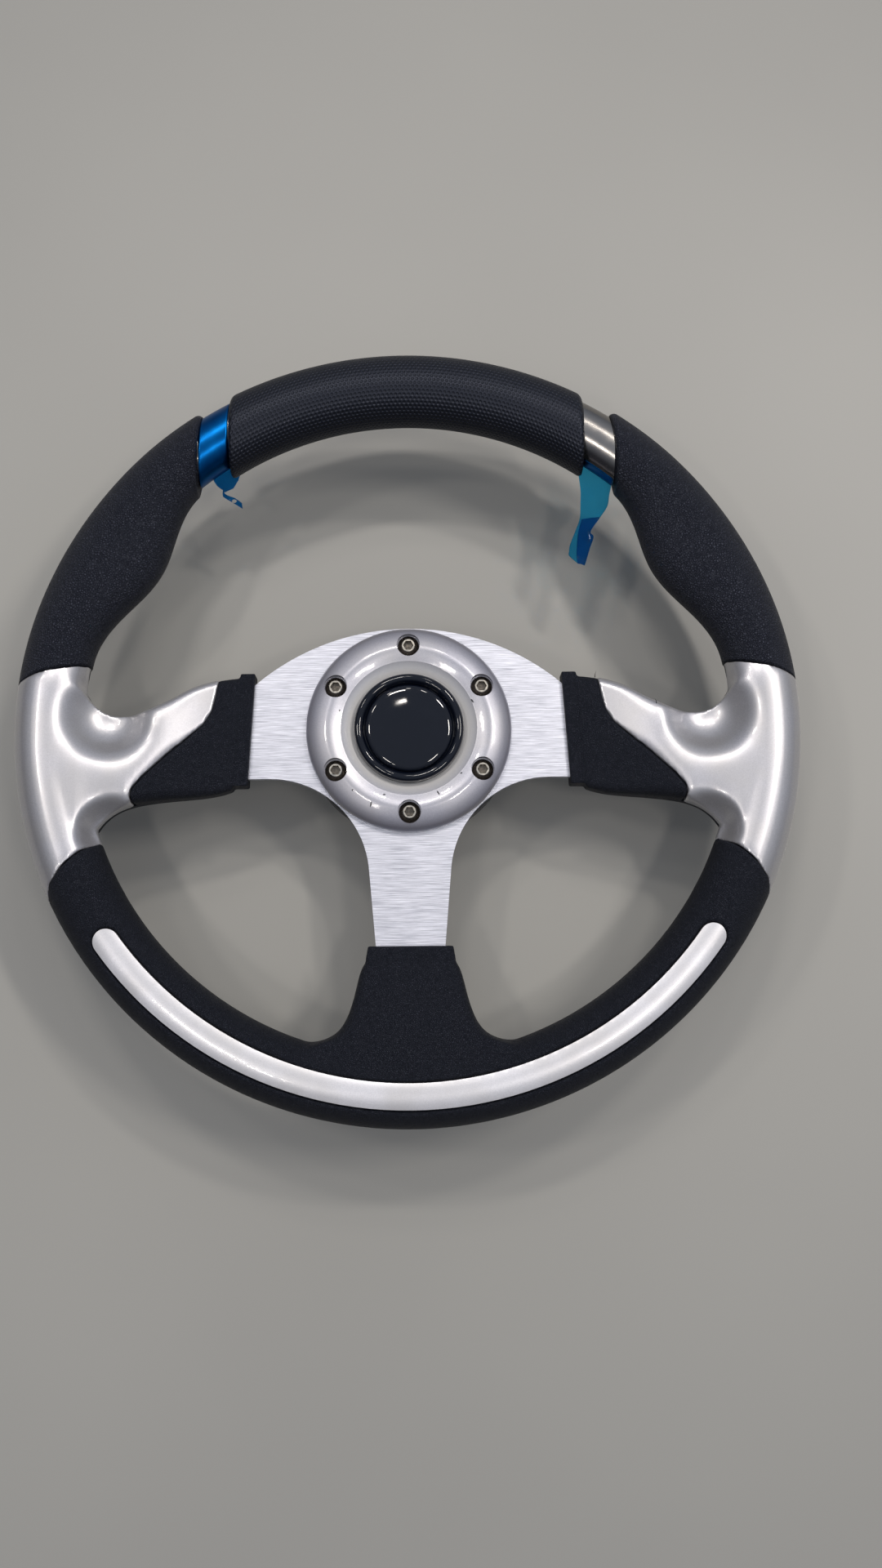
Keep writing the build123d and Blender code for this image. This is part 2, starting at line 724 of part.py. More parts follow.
# Hub boss with a tapered and keyed bore for the steering shaft
large_radius = shaft_large_end / 2
small_radius = large_radius - taper_length * shaft_taper / 2
nut_floor = taper_length + nose_length
flange_low = hub_height - flange_thickness
flare = flange_radius - boss_radius
boss = turned([
    (large_radius, 0),
    (boss_radius, 0),
    (boss_radius, hub_height * 0.2),
    (boss_radius + 0.10 * flare, hub_height * 0.42),
    (boss_radius + 0.34 * flare, hub_height * 0.6),
    (boss_radius + 0.70 * flare, hub_height * 0.7),
    (flange_radius, flange_low),
    (flange_radius, hub_height),
    (centre_hole_radius + 1.2, hub_height),
    (centre_hole_radius + 1.2, hub_height - barrel_room),
    (nut_pocket_radius, hub_height - barrel_room),
    (nut_pocket_radius, nut_floor),
    (small_radius, nut_floor),
    (small_radius, taper_length),
])
boss -= Pos(0, large_radius + key_depth - 5.0, 0) * Box(
    key_width, 10.0, nut_floor * 2, align=(Align.CENTER, Align.CENTER, Align.CENTER))
for x, y in screw_places:
    boss -= Pos(x, y, hub_height) * Cylinder(screw_radius + seat_gap, 40.0)
save("hub_boss", boss)


# Protective film, whole round the left band and peeled off the right one
film_thickness = 0.2
film = ring_tube(rim_radius, band_outer + film_thickness, band_outer_height + film_thickness)
film = film - ring_tube(rim_radius, band_outer, band_outer_height)
film = film & between(top_grip_half + seat_gap, top_grip_half + band_width - seat_gap)
band_y = sqrt(rim_radius ** 2 - band_middle ** 2)
near_grip = ring_tube(top_centre, top_half + show_gap, rim_height / 2 + show_gap)
near_grip = near_grip & between(-top_grip_half - show_gap, top_grip_half + show_gap)
band_solid = ring_tube(rim_radius, band_outer, band_outer_height)


def film_tail(points, drop):
    """Flat tail hanging from a band, from points measured from the band's middle."""
    outline = [(band_middle + across, band_y + along) for across, along in points]
    low = mid - drop
    return block(outline, low, low + film_thickness) - band_solid - near_grip


left_tail = film_tail([
    (2.2, -12.0), (-6.4, -6.0), (-10.8, -13.6), (-7.4, -19.8), (-4.2, -19.9), (-6.6, -22.3),
    (-12.0, -25.5), (-12.6, -28.5), (-6.0, -25.7), (-3.0, -24.1), (-3.9, -22.1), (-0.8, -18.5),
], 7.0)
left_tail -= Pos(band_middle - 8.6, band_y - 25.4, mid) * Box(2.0, 1.1, 30.0)
left_film = mirrored(film + left_tail)
save("left_film", left_film)
right_film = film_tail([
    (-6.0, -4.0), (6.0, -9.0), (6.4, -21.1), (4.8, -24.5), (-2.4, -37.1), (-0.9, -38.7),
    (-4.8, -51.1), (-11.2, -49.1), (-11.4, -46.1), (-6.8, -31.6), (-7.4, -19.1),
], 9.0)
save("right_film", right_film)
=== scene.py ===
# %% [markdown]
# # A boat steering wheel on a pale floor
# The wheel has a foam rim over a steel bar, a flat brushed aluminium spoke plate, pearl silver
# covers and a small horn push in its hub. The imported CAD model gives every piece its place.
# This lesson adds what the eye reads first: finishes, grain, soft edges and the torn blue film.

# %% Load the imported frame
import math

import bmesh
import bpy
import numpy as np
from mathutils import Matrix, Vector


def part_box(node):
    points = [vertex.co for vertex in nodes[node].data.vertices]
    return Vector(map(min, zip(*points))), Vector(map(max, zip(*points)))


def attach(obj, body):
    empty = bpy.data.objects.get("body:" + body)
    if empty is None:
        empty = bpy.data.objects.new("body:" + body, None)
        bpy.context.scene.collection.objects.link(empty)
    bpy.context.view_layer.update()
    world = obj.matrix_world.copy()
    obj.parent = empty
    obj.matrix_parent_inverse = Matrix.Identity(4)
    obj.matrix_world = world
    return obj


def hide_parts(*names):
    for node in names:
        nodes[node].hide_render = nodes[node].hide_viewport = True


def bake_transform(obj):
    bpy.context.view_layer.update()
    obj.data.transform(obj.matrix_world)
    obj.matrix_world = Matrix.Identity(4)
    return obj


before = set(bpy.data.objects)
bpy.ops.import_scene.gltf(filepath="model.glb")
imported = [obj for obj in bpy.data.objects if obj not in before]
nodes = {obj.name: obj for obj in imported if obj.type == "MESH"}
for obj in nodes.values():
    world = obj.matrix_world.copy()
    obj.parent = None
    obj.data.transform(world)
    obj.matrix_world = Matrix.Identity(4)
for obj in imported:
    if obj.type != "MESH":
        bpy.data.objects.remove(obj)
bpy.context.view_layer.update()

# %% [markdown]
# ## Sizes
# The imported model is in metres. The drawing sizes of the wheel are millimetres, so they are
# written once here in millimetres and multiplied by MM where a mesh is made. The bands are let into
# the rim by BAND_INSET, and the grips reach under them with a narrow neck.

# %% Sizes of the wheel
MM = 0.001
WHEEL_RADIUS = 171.5
RIM_WIDTH = 29.8
RIM_HEIGHT = 28.4
RIM_RADIUS = WHEEL_RADIUS - RIM_WIDTH / 2
MID = 52.0
TOP_GRIP_HALF = 79.0
BAND_WIDTH = 13.5
BAND_END = TOP_GRIP_HALF + BAND_WIDTH
BAND_INSET = 2.6
BAND_HALF = RIM_WIDTH / 2 - BAND_INSET
BAND_HALF_HEIGHT = RIM_HEIGHT / 2 - BAND_INSET
NECK_RADIUS = 11.4
LIP = 2.4
print("rim centre line radius", RIM_RADIUS, "mm, mid plane at", MID, "mm")

# %% [markdown]
# ## Camera
# The photograph was taken from above, a little towards six o'clock, with a phone lens. Three unit
# vectors give the camera's right, up and backward directions. They were found by fitting the rim,
# the screw circle and the hub circles to the picture. The lens is given for the long side of a
# 1080 x 1920 picture.

# %% Make the camera
camera_data = bpy.data.cameras.new("photo_camera")
camera = bpy.data.objects.new("photo_camera", camera_data)
bpy.context.scene.collection.objects.link(camera)
camera_right = (0.9999, -0.0109, 0.0125)
camera_up = (0.0088, 0.9881, 0.1535)
camera_back = (-0.0140, -0.1534, 0.9881)
turn = Matrix((camera_right, camera_up, camera_back)).transposed().to_4x4()
camera.matrix_world = Matrix.Translation((0.0048, -0.1230, 0.6840)) @ turn
SENSOR = 36.0
FOCAL_PIXELS, PICTURE_HEIGHT = 1800.0, 1920.0
camera_data.sensor_width = SENSOR
camera_data.lens = SENSOR * FOCAL_PIXELS / PICTURE_HEIGHT
bpy.context.scene.camera = camera
print("camera height", round(camera.location.z, 3), "m, lens", camera_data.lens, "mm")

# %% [markdown]
# ## Colours and nodes
# Every colour is written as a six-digit sRGB hex value, and one function turns it into the linear
# values that the shader needs. A second small function adds any shader node with its settings and
# links, so each material below reads like a recipe.

# %% Helpers for colours and shader nodes
def tint(code):
    """Linear colour from a six-digit sRGB hex code, with full alpha."""
    share = np.array([int(code[i:i + 2], 16) for i in (0, 2, 4)]) / 255.0
    low = share / 12.92
    high = ((share + 0.055) / 1.055) ** 2.4
    return (*np.where(share <= 0.04045, low, high).tolist(), 1.0)


def add(tree, kind, inputs=None, **settings):
    """Adds one shader node, sets its options, and fills or links its inputs by name or number."""
    made = tree.nodes.new("ShaderNode" + kind)
    for name, value in settings.items():
        setattr(made, name, value)
    for name, value in (inputs or {}).items():
        if isinstance(value, bpy.types.NodeSocket):
            tree.links.new(value, made.inputs[name])
        else:
            made.inputs[name].default_value = value
    return made


def finish_named(name):
    """A new material with one surface shader, as (material, tree, shader)."""
    material = bpy.data.materials.new(name)
    material.use_nodes = True
    tree = material.node_tree
    return material, tree, tree.nodes["Principled BSDF"]


def place_in_mm(tree, scale=(1.0, 1.0, 1.0)):
    """The piece's own position in millimetres, stretched by a scale on each axis."""
    here = add(tree, "TexCoord").outputs["Object"]
    size = [1000.0 * s for s in scale]
    return add(tree, "Mapping", {"Vector": here, "Scale": size}).outputs["Vector"]


def flat_distance(tree, place):
    """How far a position is from the axis Z: the length of its x and y."""
    flat = add(tree, "VectorMath", {0: place, 1: (1.0, 1.0, 0.0)}, operation="MULTIPLY")
    return add(tree, "VectorMath", {0: flat.outputs[0]}, operation="LENGTH").outputs["Value"]


print("black foam in linear light", [round(v, 3) for v in tint("2a2c34")])

# %% [markdown]
# ## Floor and light
# The stage is a plain pale floor with a soft sheen. A ring of small lamps stands for the rows of a
# workshop ceiling. Seen in the horn push, the middle of that ring is empty, so the push stays dark
# and each lamp shows as a small bright stroke on its shoulder, as in the photograph. The strokes
# there gave the angle and the distance of each lamp. The far and right-hand lamps are the
# strongest, so the plate is brightest on its right and the shadow falls towards the viewer.

# %% Floor
floor_mesh = bpy.data.meshes.new("floor")
FLOOR_HALF = 2.5
corners = [(FLOOR_HALF * x, FLOOR_HALF * y, 0) for x, y in ((-1, -1), (1, -1), (1, 1), (-1, 1))]
floor_mesh.from_pydata(corners, [], [(0, 1, 2, 3)])
floor = bpy.data.objects.new("floor", floor_mesh)
bpy.context.scene.collection.objects.link(floor)
floor_material, tree, shader = finish_named("pale sealed floor")
grime = add(tree, "TexNoise", {"Vector": place_in_mm(tree), "Scale": 0.004, "Detail": 3.0})
floor_tone = add(tree, "Mix", {0: grime.outputs[0], 6: tint("8d8c88"), 7: tint("979691")},
                 data_type="RGBA")
tree.links.new(floor_tone.outputs[2], shader.inputs["Base Color"])
shader.inputs["Roughness"].default_value = 0.42
floor_mesh.materials.append(floor_material)
print("floor is", 2 * FLOOR_HALF, "m wide")

# %% [markdown]
# Each lamp is a narrow box light, like a short fluorescent tube. The table gives its name, its
# angle and distance seen from the point MIRROR_Y where the camera is mirrored in the push, its
# length and its power.

# %% Lights
def soft_light(name, place, size, power, colour):
    """A rectangular area light at a place, turned to face the wheel's centre."""
    data = bpy.data.lights.new(name, "AREA")
    data.shape = "RECTANGLE"
    data.size, data.size_y = size
    data.energy = power
    data.color = tint(colour)[:3]
    lamp = bpy.data.objects.new(name, data)
    bpy.context.scene.collection.objects.link(lamp)
    lamp.location = place
    lamp.rotation_euler = (-Vector(place)).to_track_quat("-Z", "Y").to_euler()
    return lamp


LAMP_HEIGHT = 1.8
LAMP_WIDTH = 0.12
MIRROR_Y = 0.34
lamps = [("far_big", 108, 0.72, 0.30, 6.0), ("far_small", 91, 1.05, 0.10, 0.8),
         ("far_tiny", 118, 1.1, 0.10, 0.8), ("far_middle", 70, 1.02, 0.14, 1.5),
         ("far_right", 41, 1.0, 0.24, 8.0), ("right_side", 2, 1.08, 0.45, 10.0),
         ("near_right", -53, 0.92, 0.28, 3.5), ("near_left", -125, 1.0, 0.24, 2.5),
         ("near_tiny", -114, 1.16, 0.08, 0.6), ("left_side", 180, 1.0, 0.22, 4.0),
         ("left_far", 149, 1.02, 0.18, 2.0)]
for name, angle, distance, length, power in lamps:
    lamp_x = distance * math.cos(math.radians(angle))
    lamp_y = MIRROR_Y + distance * math.sin(math.radians(angle))
    soft_light(name, (lamp_x, lamp_y, LAMP_HEIGHT), (length, LAMP_WIDTH), power, "fff8f0")
print(len(lamps), "lamps")

# %% [markdown]
# The room round the wheel is lighter overhead than at the height of a table, so the sides of every
# tube and dome fall off into shade, as they do in the photograph. Its light is a cool daylight, the
# lamps are a little warm. The far wall is lit as well, while the near side lies in the viewer's own
# shade. So the light of a direction grows with its height and with how far it points away.

# %% Room light
ROOM_STRENGTH = 0.62
LIT_WAY = (0.2, 0.35, 1.0)
world = bpy.data.worlds.new("studio")
world.use_nodes = True
tree = world.node_tree
direction = add(tree, "TexCoord").outputs["Generated"]
lit_way = add(tree, "VectorMath", {0: direction, 1: LIT_WAY}, operation="DOT_PRODUCT")
share = add(tree, "MapRange", {0: lit_way.outputs["Value"], 1: 0.0, 2: 0.85, 3: 0.0, 4: 1.0})
room = add(tree, "Mix", {0: share.outputs[0], 6: tint("454852"), 7: tint("ccd5e6")},
           data_type="RGBA")
tree.links.new(room.outputs[2], tree.nodes["Background"].inputs[0])
tree.nodes["Background"].inputs[1].default_value = ROOM_STRENGTH
bpy.context.scene.world = world
bpy.context.scene.view_settings.view_transform = "Standard"
print("room light is", ROOM_STRENGTH)

# %% [markdown]
# ## Brushed aluminium
# The spoke plate is rolled aluminium sheet, brushed in one direction with an abrasive belt and
# sealed with clear lacquer. Belt marks are long thin scratches, here about 15 mm long and a quarter
# of a millimetre wide, all running across the wheel. Noise stretched along X gives them: it moves
# the colour, the roughness and a faint bump together. Such marks scatter light mostly across
# themselves, which the anisotropic part of the metal gives, with its wide direction along Y.

# %% Brushed aluminium
brushed, tree, shader = finish_named("brushed aluminium sheet")
strokes = add(tree, "TexNoise", {"Vector": place_in_mm(tree, (0.08, 4.4, 4.4)), "Scale": 1.0,
                                "Detail": 3.0, "Roughness": 0.65})
long_strokes = add(tree, "TexNoise", {"Vector": place_in_mm(tree, (0.02, 0.9, 0.9)),
                                     "Scale": 1.0})
share = add(tree, "MapRange", {0: strokes.outputs[0], 1: 0.32, 2: 0.68, 3: 0.0, 4: 1.0})
tone = add(tree, "Mix", {0: share.outputs[0], 6: tint("92949e"), 7: tint("dddee6")},
           data_type="RGBA")
tree.links.new(tone.outputs[2], shader.inputs["Base Color"])
gloss = add(tree, "MapRange", {0: long_strokes.outputs[0], 1: 0.3, 2: 0.7, 3: 0.42, 4: 0.50})
tree.links.new(gloss.outputs[0], shader.inputs["Roughness"])
scratch = add(tree, "Bump", {"Height": share.outputs[0], "Distance": 0.00003, "Strength": 0.5})
tree.links.new(scratch.outputs[0], shader.inputs["Normal"])
across_marks = add(tree, "CombineXYZ", {0: 0.0, 1: 1.0, 2: 0.0})
tree.links.new(across_marks.outputs[0], shader.inputs["Tangent"])
shader.inputs["Anisotropic"].default_value = 0.35
shader.inputs["Metallic"].default_value = 1.0
print(brushed.name)

# %% [markdown]
# ## Pearl silver paint
# The covers, the arc in the lower rim and the hub ring are moulded plastic, sprayed with a silver
# base full of fine flakes and then with clear lacquer. The base is partly metallic and rather
# rough: its flakes lie flatter on the covers, so those are more metallic, while the arc looks
# whiter. The lacquer over it is a smooth coat. Flakes are far below a pixel, so the cells here
# are coarser, a third of a millimetre, and only shift the tone a little.

# %% Pearl silver paint
NICK_HALF_WIDTH = 0.36


def silver_paint(name, low, high, metal, nicks=()):
    """Silver base between two tones with flakes, under lacquer. Each nick is (x, y, angle, length)
    in millimetres and degrees. It shows the dark plastic where its long oval distance is under
    one. A finish with nicks is the hub ring's, so it also gets painted light on its inner slope
    and painted shade on its outer edge, by the distance from the axis."""
    material, tree, shader = finish_named(name)
    flakes = add(tree, "TexVoronoi", {"Vector": place_in_mm(tree), "Scale": 3.0})
    cloud = add(tree, "TexNoise", {"Vector": place_in_mm(tree), "Scale": 0.05, "Detail": 2.0})
    sparkle = add(tree, "SeparateColor", {0: flakes.outputs["Color"]})
    base = add(tree, "Mix", {0: sparkle.outputs[0], 6: tint(low), 7: tint(high)},
               data_type="RGBA").outputs[2]
    # each mark: the value it reads, from and to which value, the shares there, and its colour
    marks = [(cloud.outputs[0], 0.35, 0.65, 0.0, 0.4, "bdbab6")]
    if nicks:
        radius = flat_distance(tree, place_in_mm(tree))
        # painted light whitens the inner slope round the bezel, painted shade darkens the outer
        # edge
        marks.append((radius, 26.0, 30.5, 0.9, 0.0, "f2f1f0"))
        marks.append((radius, 34.0, 44.5, 0.0, 0.76, "73727e"))
    for x, y, angle, length in nicks:
        here = add(tree, "TexCoord").outputs["Object"]
        size = (length / 2 * MM, NICK_HALF_WIDTH * MM, 1.0)
        turned = add(tree, "Mapping", {"Vector": here, "Location": (x * MM, y * MM, 0.0),
                                       "Rotation": (0.0, 0.0, math.radians(angle)), "Scale": size},
                     vector_type="TEXTURE")
        marks.append((flat_distance(tree, turned.outputs[0]), 0.7, 1.1, 1.0, 0.0, "1d1d20"))
    for value, start, stop, start_share, stop_share, colour in marks:
        share = add(tree, "MapRange", {0: value, 1: start, 2: stop, 3: start_share, 4: stop_share})
        base = add(tree, "Mix", {0: share.outputs[0], 6: base, 7: tint(colour)},
                   data_type="RGBA").outputs[2]
    tree.links.new(base, shader.inputs["Base Color"])
    peel = add(tree, "TexNoise", {"Vector": place_in_mm(tree), "Scale": 0.35, "Detail": 2.0})
    orange = add(tree, "Bump", {"Height": peel.outputs[0], "Distance": 0.00004, "Strength": 0.25})
    tree.links.new(orange.outputs[0], shader.inputs["Coat Normal"])
    shader.inputs["Metallic"].default_value = metal
    shader.inputs["Roughness"].default_value = 0.36
    shader.inputs["Coat Weight"].default_value = 1.0
    shader.inputs["Coat Roughness"].default_value = 0.08
    return material


pearl = silver_paint("pearl silver paint under lacquer", "b6b5ba", "c4c3c8", 0.72)
inlay_pearl = silver_paint("pearl silver paint on the inlay", "d2d1d5", "dedde1", 0.45)
print(pearl.name, "and", inlay_pearl.name)

# %% [markdown]
# On the hub ring the tone changes with the distance from the axis: painted light makes the inner
# slope round the bezel nearly white, and painted shade darkens the outer edge. The ring has also
# been knocked. Its few small nicks go through the silver to the plastic, placed one by one.

# %% Pearl silver paint with nicks, painted light and painted shade
RING_NICKS = [(-16.7, -33.9, 75.0, 2.6), (12.5, -29.1, -60.0, 2.4), (-30.8, 2.2, 30.0, 1.5),
              (27.8, 11.6, -55.0, 2.2), (-30.2, 7.6, 80.0, 1.2), (22.6, -20.4, 40.0, 1.1),
              (-10.9, -29.6, 10.0, 1.4), (-24.6, -27.6, 60.0, 1.0)]
nicked_pearl_painted_light_and_shade = silver_paint("pearl silver paint with nicks", "a8a8b1", "b6b6bf", 0.45, RING_NICKS)
print(len(RING_NICKS), "nicks")

# %% [markdown]
# ## Black foam skin
# The grips are self-skinning polyurethane foam. The mould gives the skin its grain: a leather
# pattern on the side grips, a finer one on the covers and the lower rim, and hexagonal rows of
# dimples on the top grip. The skin is matt, a blue black, and only its grain catches light. The
# creases of the leather pattern are wider than its grain, as on a folded hide.

# %% Leather-grained foam
SKIN_SHEEN = tint("d2daf2")


def grained_foam(name, grain, depth, light, dark, rough, shine, creases=0.0):
    """Foam skin with pebbles of a given size in millimetres between fine lines, and wider creases
    where a wandering noise passes through its middle value. The fine lines and the creases take
    the dark tone as painted shade, and the pebble tops take the light tone."""
    material, tree, shader = finish_named(name)
    here = place_in_mm(tree)
    wander = add(tree, "TexNoise", {"Vector": here, "Scale": 0.5 / grain, "Detail": 2.0})
    moved = add(tree, "VectorMath", {0: here, 1: wander.outputs["Color"]}, operation="ADD")
    cells = add(tree, "TexVoronoi", {"Vector": moved.outputs[0], "Scale": 1.0 / grain},
                feature="DISTANCE_TO_EDGE")
    pebble = add(tree, "MapRange", {0: cells.outputs["Distance"], 1: 0.0, 2: 0.28, 3: 0.0, 4: 1.0})
    slow = add(tree, "TexNoise", {"Vector": here, "Scale": 0.28, "Detail": 3.0, "Roughness": 0.6})
    off_middle = add(tree, "Math", {0: slow.outputs[0], 1: 0.5}, operation="SUBTRACT")
    away = add(tree, "Math", {0: off_middle.outputs[0]}, operation="ABSOLUTE")
    smooth_part = add(tree, "MapRange", {0: away.outputs[0], 1: 0.0, 2: 0.03,
                                         3: 1.0 - creases, 4: 1.0})
    skin = add(tree, "Math", {0: pebble.outputs[0], 1: smooth_part.outputs[0]},
               operation="MULTIPLY")
    fine = add(tree, "TexNoise", {"Vector": here, "Scale": 3.0 / grain, "Detail": 3.0})
    relief = add(tree, "Math", {0: fine.outputs[0], 1: 0.35, 2: skin.outputs[0]},
                 operation="MULTIPLY_ADD")
    bumped = add(tree, "Bump", {"Height": relief.outputs[0], "Distance": depth, "Strength": 1.0})
    tree.links.new(bumped.outputs[0], shader.inputs["Normal"])
    # painted shade: the fine lines and the creases are darker than the pebble tops
    tone = add(tree, "Mix", {0: skin.outputs[0], 6: tint(dark), 7: tint(light)},
               data_type="RGBA")
    tree.links.new(tone.outputs[2], shader.inputs["Base Color"])
    gloss = add(tree, "MapRange", {0: fine.outputs[0], 1: 0.3, 2: 0.7,
                                   3: rough - 0.06, 4: rough + 0.08})
    tree.links.new(gloss.outputs[0], shader.inputs["Roughness"])
    shader.inputs["Specular IOR Level"].default_value = shine
    shader.inputs["Specular Tint"].default_value = SKIN_SHEEN
    return material


leather_foam = grained_foam("leather-grained foam skin", 1.0, 0.00032, "282a33", "101116", 0.42,
                            0.32, 0.6)
fine_foam = grained_foam("fine-grained foam skin", 0.7, 0.00020, "1b1d24", "0a0b0f", 0.5, 0.28)
print(leather_foam.name, "and", fine_foam.name)

# %% [markdown]
# The dimples of the top grip sit on a triangular lattice, 1.9 mm apart. Two square lattices of
# rows, one shifted by half a cell both ways, make that lattice. Each gives the distance to its
# nearest dimple, and the smaller of the two distances draws the dimple. The dimples also get a
# darker tone, as painted shade in the hollows. The pattern follows the grip's own UV map, which
# is in millimetres along and around the tube.

# %% Dimpled foam
PITCH = 1.9
CELL = (PITCH, PITCH * math.sqrt(3.0), 0.0)
dimpled_foam, tree, shader = finish_named("dimpled foam skin")
along = add(tree, "UVMap", uv_map="skin").outputs[0]
row = (1.0 / CELL[0], 1.0 / CELL[1], 0.0)
cell_distance = []
for shift in (0.0, 0.5):
    scaled = add(tree, "VectorMath", {0: along, 1: row}, operation="MULTIPLY")
    moved = add(tree, "VectorMath", {0: scaled.outputs[0], 1: (shift, shift, 0.0)},
                operation="ADD")
    inside = add(tree, "VectorMath", {0: moved.outputs[0]}, operation="FRACTION")
    centred = add(tree, "VectorMath", {0: inside.outputs[0], 1: (0.5, 0.5, 0.0)},
                  operation="SUBTRACT")
    sized = add(tree, "VectorMath", {0: centred.outputs[0], 1: CELL}, operation="MULTIPLY")
    distance = add(tree, "VectorMath", {0: sized.outputs[0]}, operation="LENGTH")
    cell_distance.append(distance.outputs["Value"])
nearest = add(tree, "Math", {0: cell_distance[0], 1: cell_distance[1]}, operation="MINIMUM")
dimple = add(tree, "MapRange", {0: nearest.outputs[0], 1: 0.35, 2: 0.75, 3: 0.0, 4: 1.0})
skin = add(tree, "TexNoise", {"Vector": place_in_mm(tree), "Scale": 3.0, "Detail": 3.0})
relief = add(tree, "Math", {0: skin.outputs[0], 1: 0.18, 2: dimple.outputs[0]},
             operation="MULTIPLY_ADD")
bumped = add(tree, "Bump", {"Height": relief.outputs[0], "Distance": 0.00025, "Strength": 1.0})
tree.links.new(bumped.outputs[0], shader.inputs["Normal"])
# painted shade: the dimples are a darker tone than the skin between them
tone = add(tree, "Mix", {0: dimple.outputs[0], 6: tint("08090d"), 7: tint("101219")},
           data_type="RGBA")
tree.links.new(tone.outputs[2], shader.inputs["Base Color"])
shader.inputs["Roughness"].default_value = 0.42
shader.inputs["Specular IOR Level"].default_value = 0.42
shader.inputs["Specular Tint"].default_value = SKIN_SHEEN
print(dimpled_foam.name, "pitch", PITCH, "mm")

# %% [markdown]
# ## Gloss black, polished steel, screws and hidden metals
# The horn bezel and its cap are gloss black plastic. The bands are polished stainless steel, and
# the screws have a dark nickel finish. Each gets faint fine scratches in its roughness, since no
# handled part is perfectly even. The bar in the rim, its rivets, the spring, the contacts and the
# hub boss are hidden or nearly so, and get the plain finish of such a part.

# %% Smooth finishes with faint wear
def worn_finish(name, colour, second, metal, rough, change):
    """An even finish whose roughness and tone wander a little over a few millimetres."""
    material, tree, shader = finish_named(name)
    wander = add(tree, "TexNoise", {"Vector": place_in_mm(tree), "Scale": 0.25, "Detail": 4.0})
    gloss = add(tree, "MapRange", {0: wander.outputs[0], 1: 0.3, 2: 0.7,
                                   3: rough, 4: rough + change})
    tree.links.new(gloss.outputs[0], shader.inputs["Roughness"])
    tone = add(tree, "Mix", {0: wander.outputs[0], 6: tint(colour), 7: tint(second)},
               data_type="RGBA")
    tree.links.new(tone.outputs[2], shader.inputs["Base Color"])
    shader.inputs["Metallic"].default_value = metal
    return material


black_gloss = worn_finish("gloss black plastic", "050913", "070b17", 0.0, 0.04, 0.03)
black_matt = worn_finish("matt black plastic", "1b1c20", "212226", 0.0, 0.5, 0.15)
mirror_steel = worn_finish("polished stainless steel", "9a9692", "8f8c88", 1.0, 0.2, 0.06)
zinc_steel = worn_finish("zinc-plated steel", "b4b6ba", "9fa2a8", 1.0, 0.35, 0.15)
yellow_brass = worn_finish("bright brass", "d9b36a", "c79f58", 1.0, 0.2, 0.12)
black_cast = worn_finish("satin black cast aluminium", "17181b", "1f2023", 0.35, 0.42, 0.14)
print("six smooth finishes")

# %% [markdown]
# The button-head screws are dark nickel. The flat ring round each hex socket gets a bright tone as
# a painted highlight, and height alone tells the two tones apart: the heads end at 53 mm over the
# hub's back face.

# %% Dark nickel with a painted highlight ring
HEAD_TOP = 52.95
dark_nickel, tree, shader = finish_named("dark nickel screw steel")
here = place_in_mm(tree)
height = add(tree, "SeparateXYZ", {0: here}).outputs[2]
ring = add(tree, "MapRange", {0: height, 1: HEAD_TOP - 0.16, 2: HEAD_TOP - 0.04,
                              3: 0.0, 4: 1.0})
stain = add(tree, "TexNoise", {"Vector": here, "Scale": 0.8, "Detail": 3.0})
dull = add(tree, "Mix", {0: stain.outputs[0], 6: tint("5a544c"), 7: tint("7a7268")},
           data_type="RGBA")
# painted highlight: the flat ring at the top of each head takes a bright tone
tone = add(tree, "Mix", {0: ring.outputs[0], 6: dull.outputs[2], 7: tint("c4bdb0")},
           data_type="RGBA")
tree.links.new(tone.outputs[2], shader.inputs["Base Color"])
gloss = add(tree, "MapRange", {0: stain.outputs[0], 1: 0.3, 2: 0.7, 3: 0.2, 4: 0.36})
tree.links.new(gloss.outputs[0], shader.inputs["Roughness"])
shader.inputs["Metallic"].default_value = 1.0
print(dark_nickel.name)

# %% [markdown]
# ## Blue film
# A thin tinted plastic film protects the polished bands until the wheel is used. Stretched on the
# steel it works like blue-tinted metal: light passes the film, is mirrored by the steel and passes
# the film again. Where it hangs free it lets the floor through, teal in one layer and deep blue in
# two. The first finish is a tinted metal, and the second a clear plastic with a filter colour. Its
# index of refraction is low, because so thin a film hardly bends what is seen through it.

# %% Blue film
def film_finish(name, deep, light, size, depth, strength):
    """A film's tone and its shallow crumples, both from one slow noise, as (material, shader)."""
    material, tree, shader = finish_named(name)
    crumple = add(tree, "TexNoise", {"Vector": place_in_mm(tree), "Scale": size, "Detail": 2.0})
    tone = add(tree, "Mix", {0: crumple.outputs[0], 6: tint(deep), 7: tint(light)},
               data_type="RGBA")
    tree.links.new(tone.outputs[2], shader.inputs["Base Color"])
    wrinkle = add(tree, "Bump", {"Height": crumple.outputs[0], "Distance": depth,
                                 "Strength": strength})
    tree.links.new(wrinkle.outputs[0], shader.inputs["Normal"])
    return material, shader


def hanging_finish(name, deep, light):
    """Clear plastic with a filter colour."""
    material, shader = film_finish(name, deep, light, 0.12, 0.0003, 0.4)
    shader.inputs["Roughness"].default_value = 0.05
    shader.inputs["Transmission Weight"].default_value = 0.9
    shader.inputs["IOR"].default_value = 1.12
    return material


film_on_steel, shader = film_finish("blue film on polished steel", "053f78", "0963a6",
                                    0.16, 0.00012, 0.3)
shader.inputs["Metallic"].default_value = 1.0
shader.inputs["Roughness"].default_value = 0.3
blue_film = hanging_finish("clear blue film", "2fa2cf", "40b4dc")
deep_film = hanging_finish("clear blue film, creased double", "1268ac", "1a7cc0")
print(film_on_steel.name, ",", blue_film.name, "and", deep_film.name)

# %% [markdown]
# ## Finishes for the CAD pieces
# The rigid pieces keep their CAD shape, which is the true one, and only take a finish. One table
# lists every such node with its material.

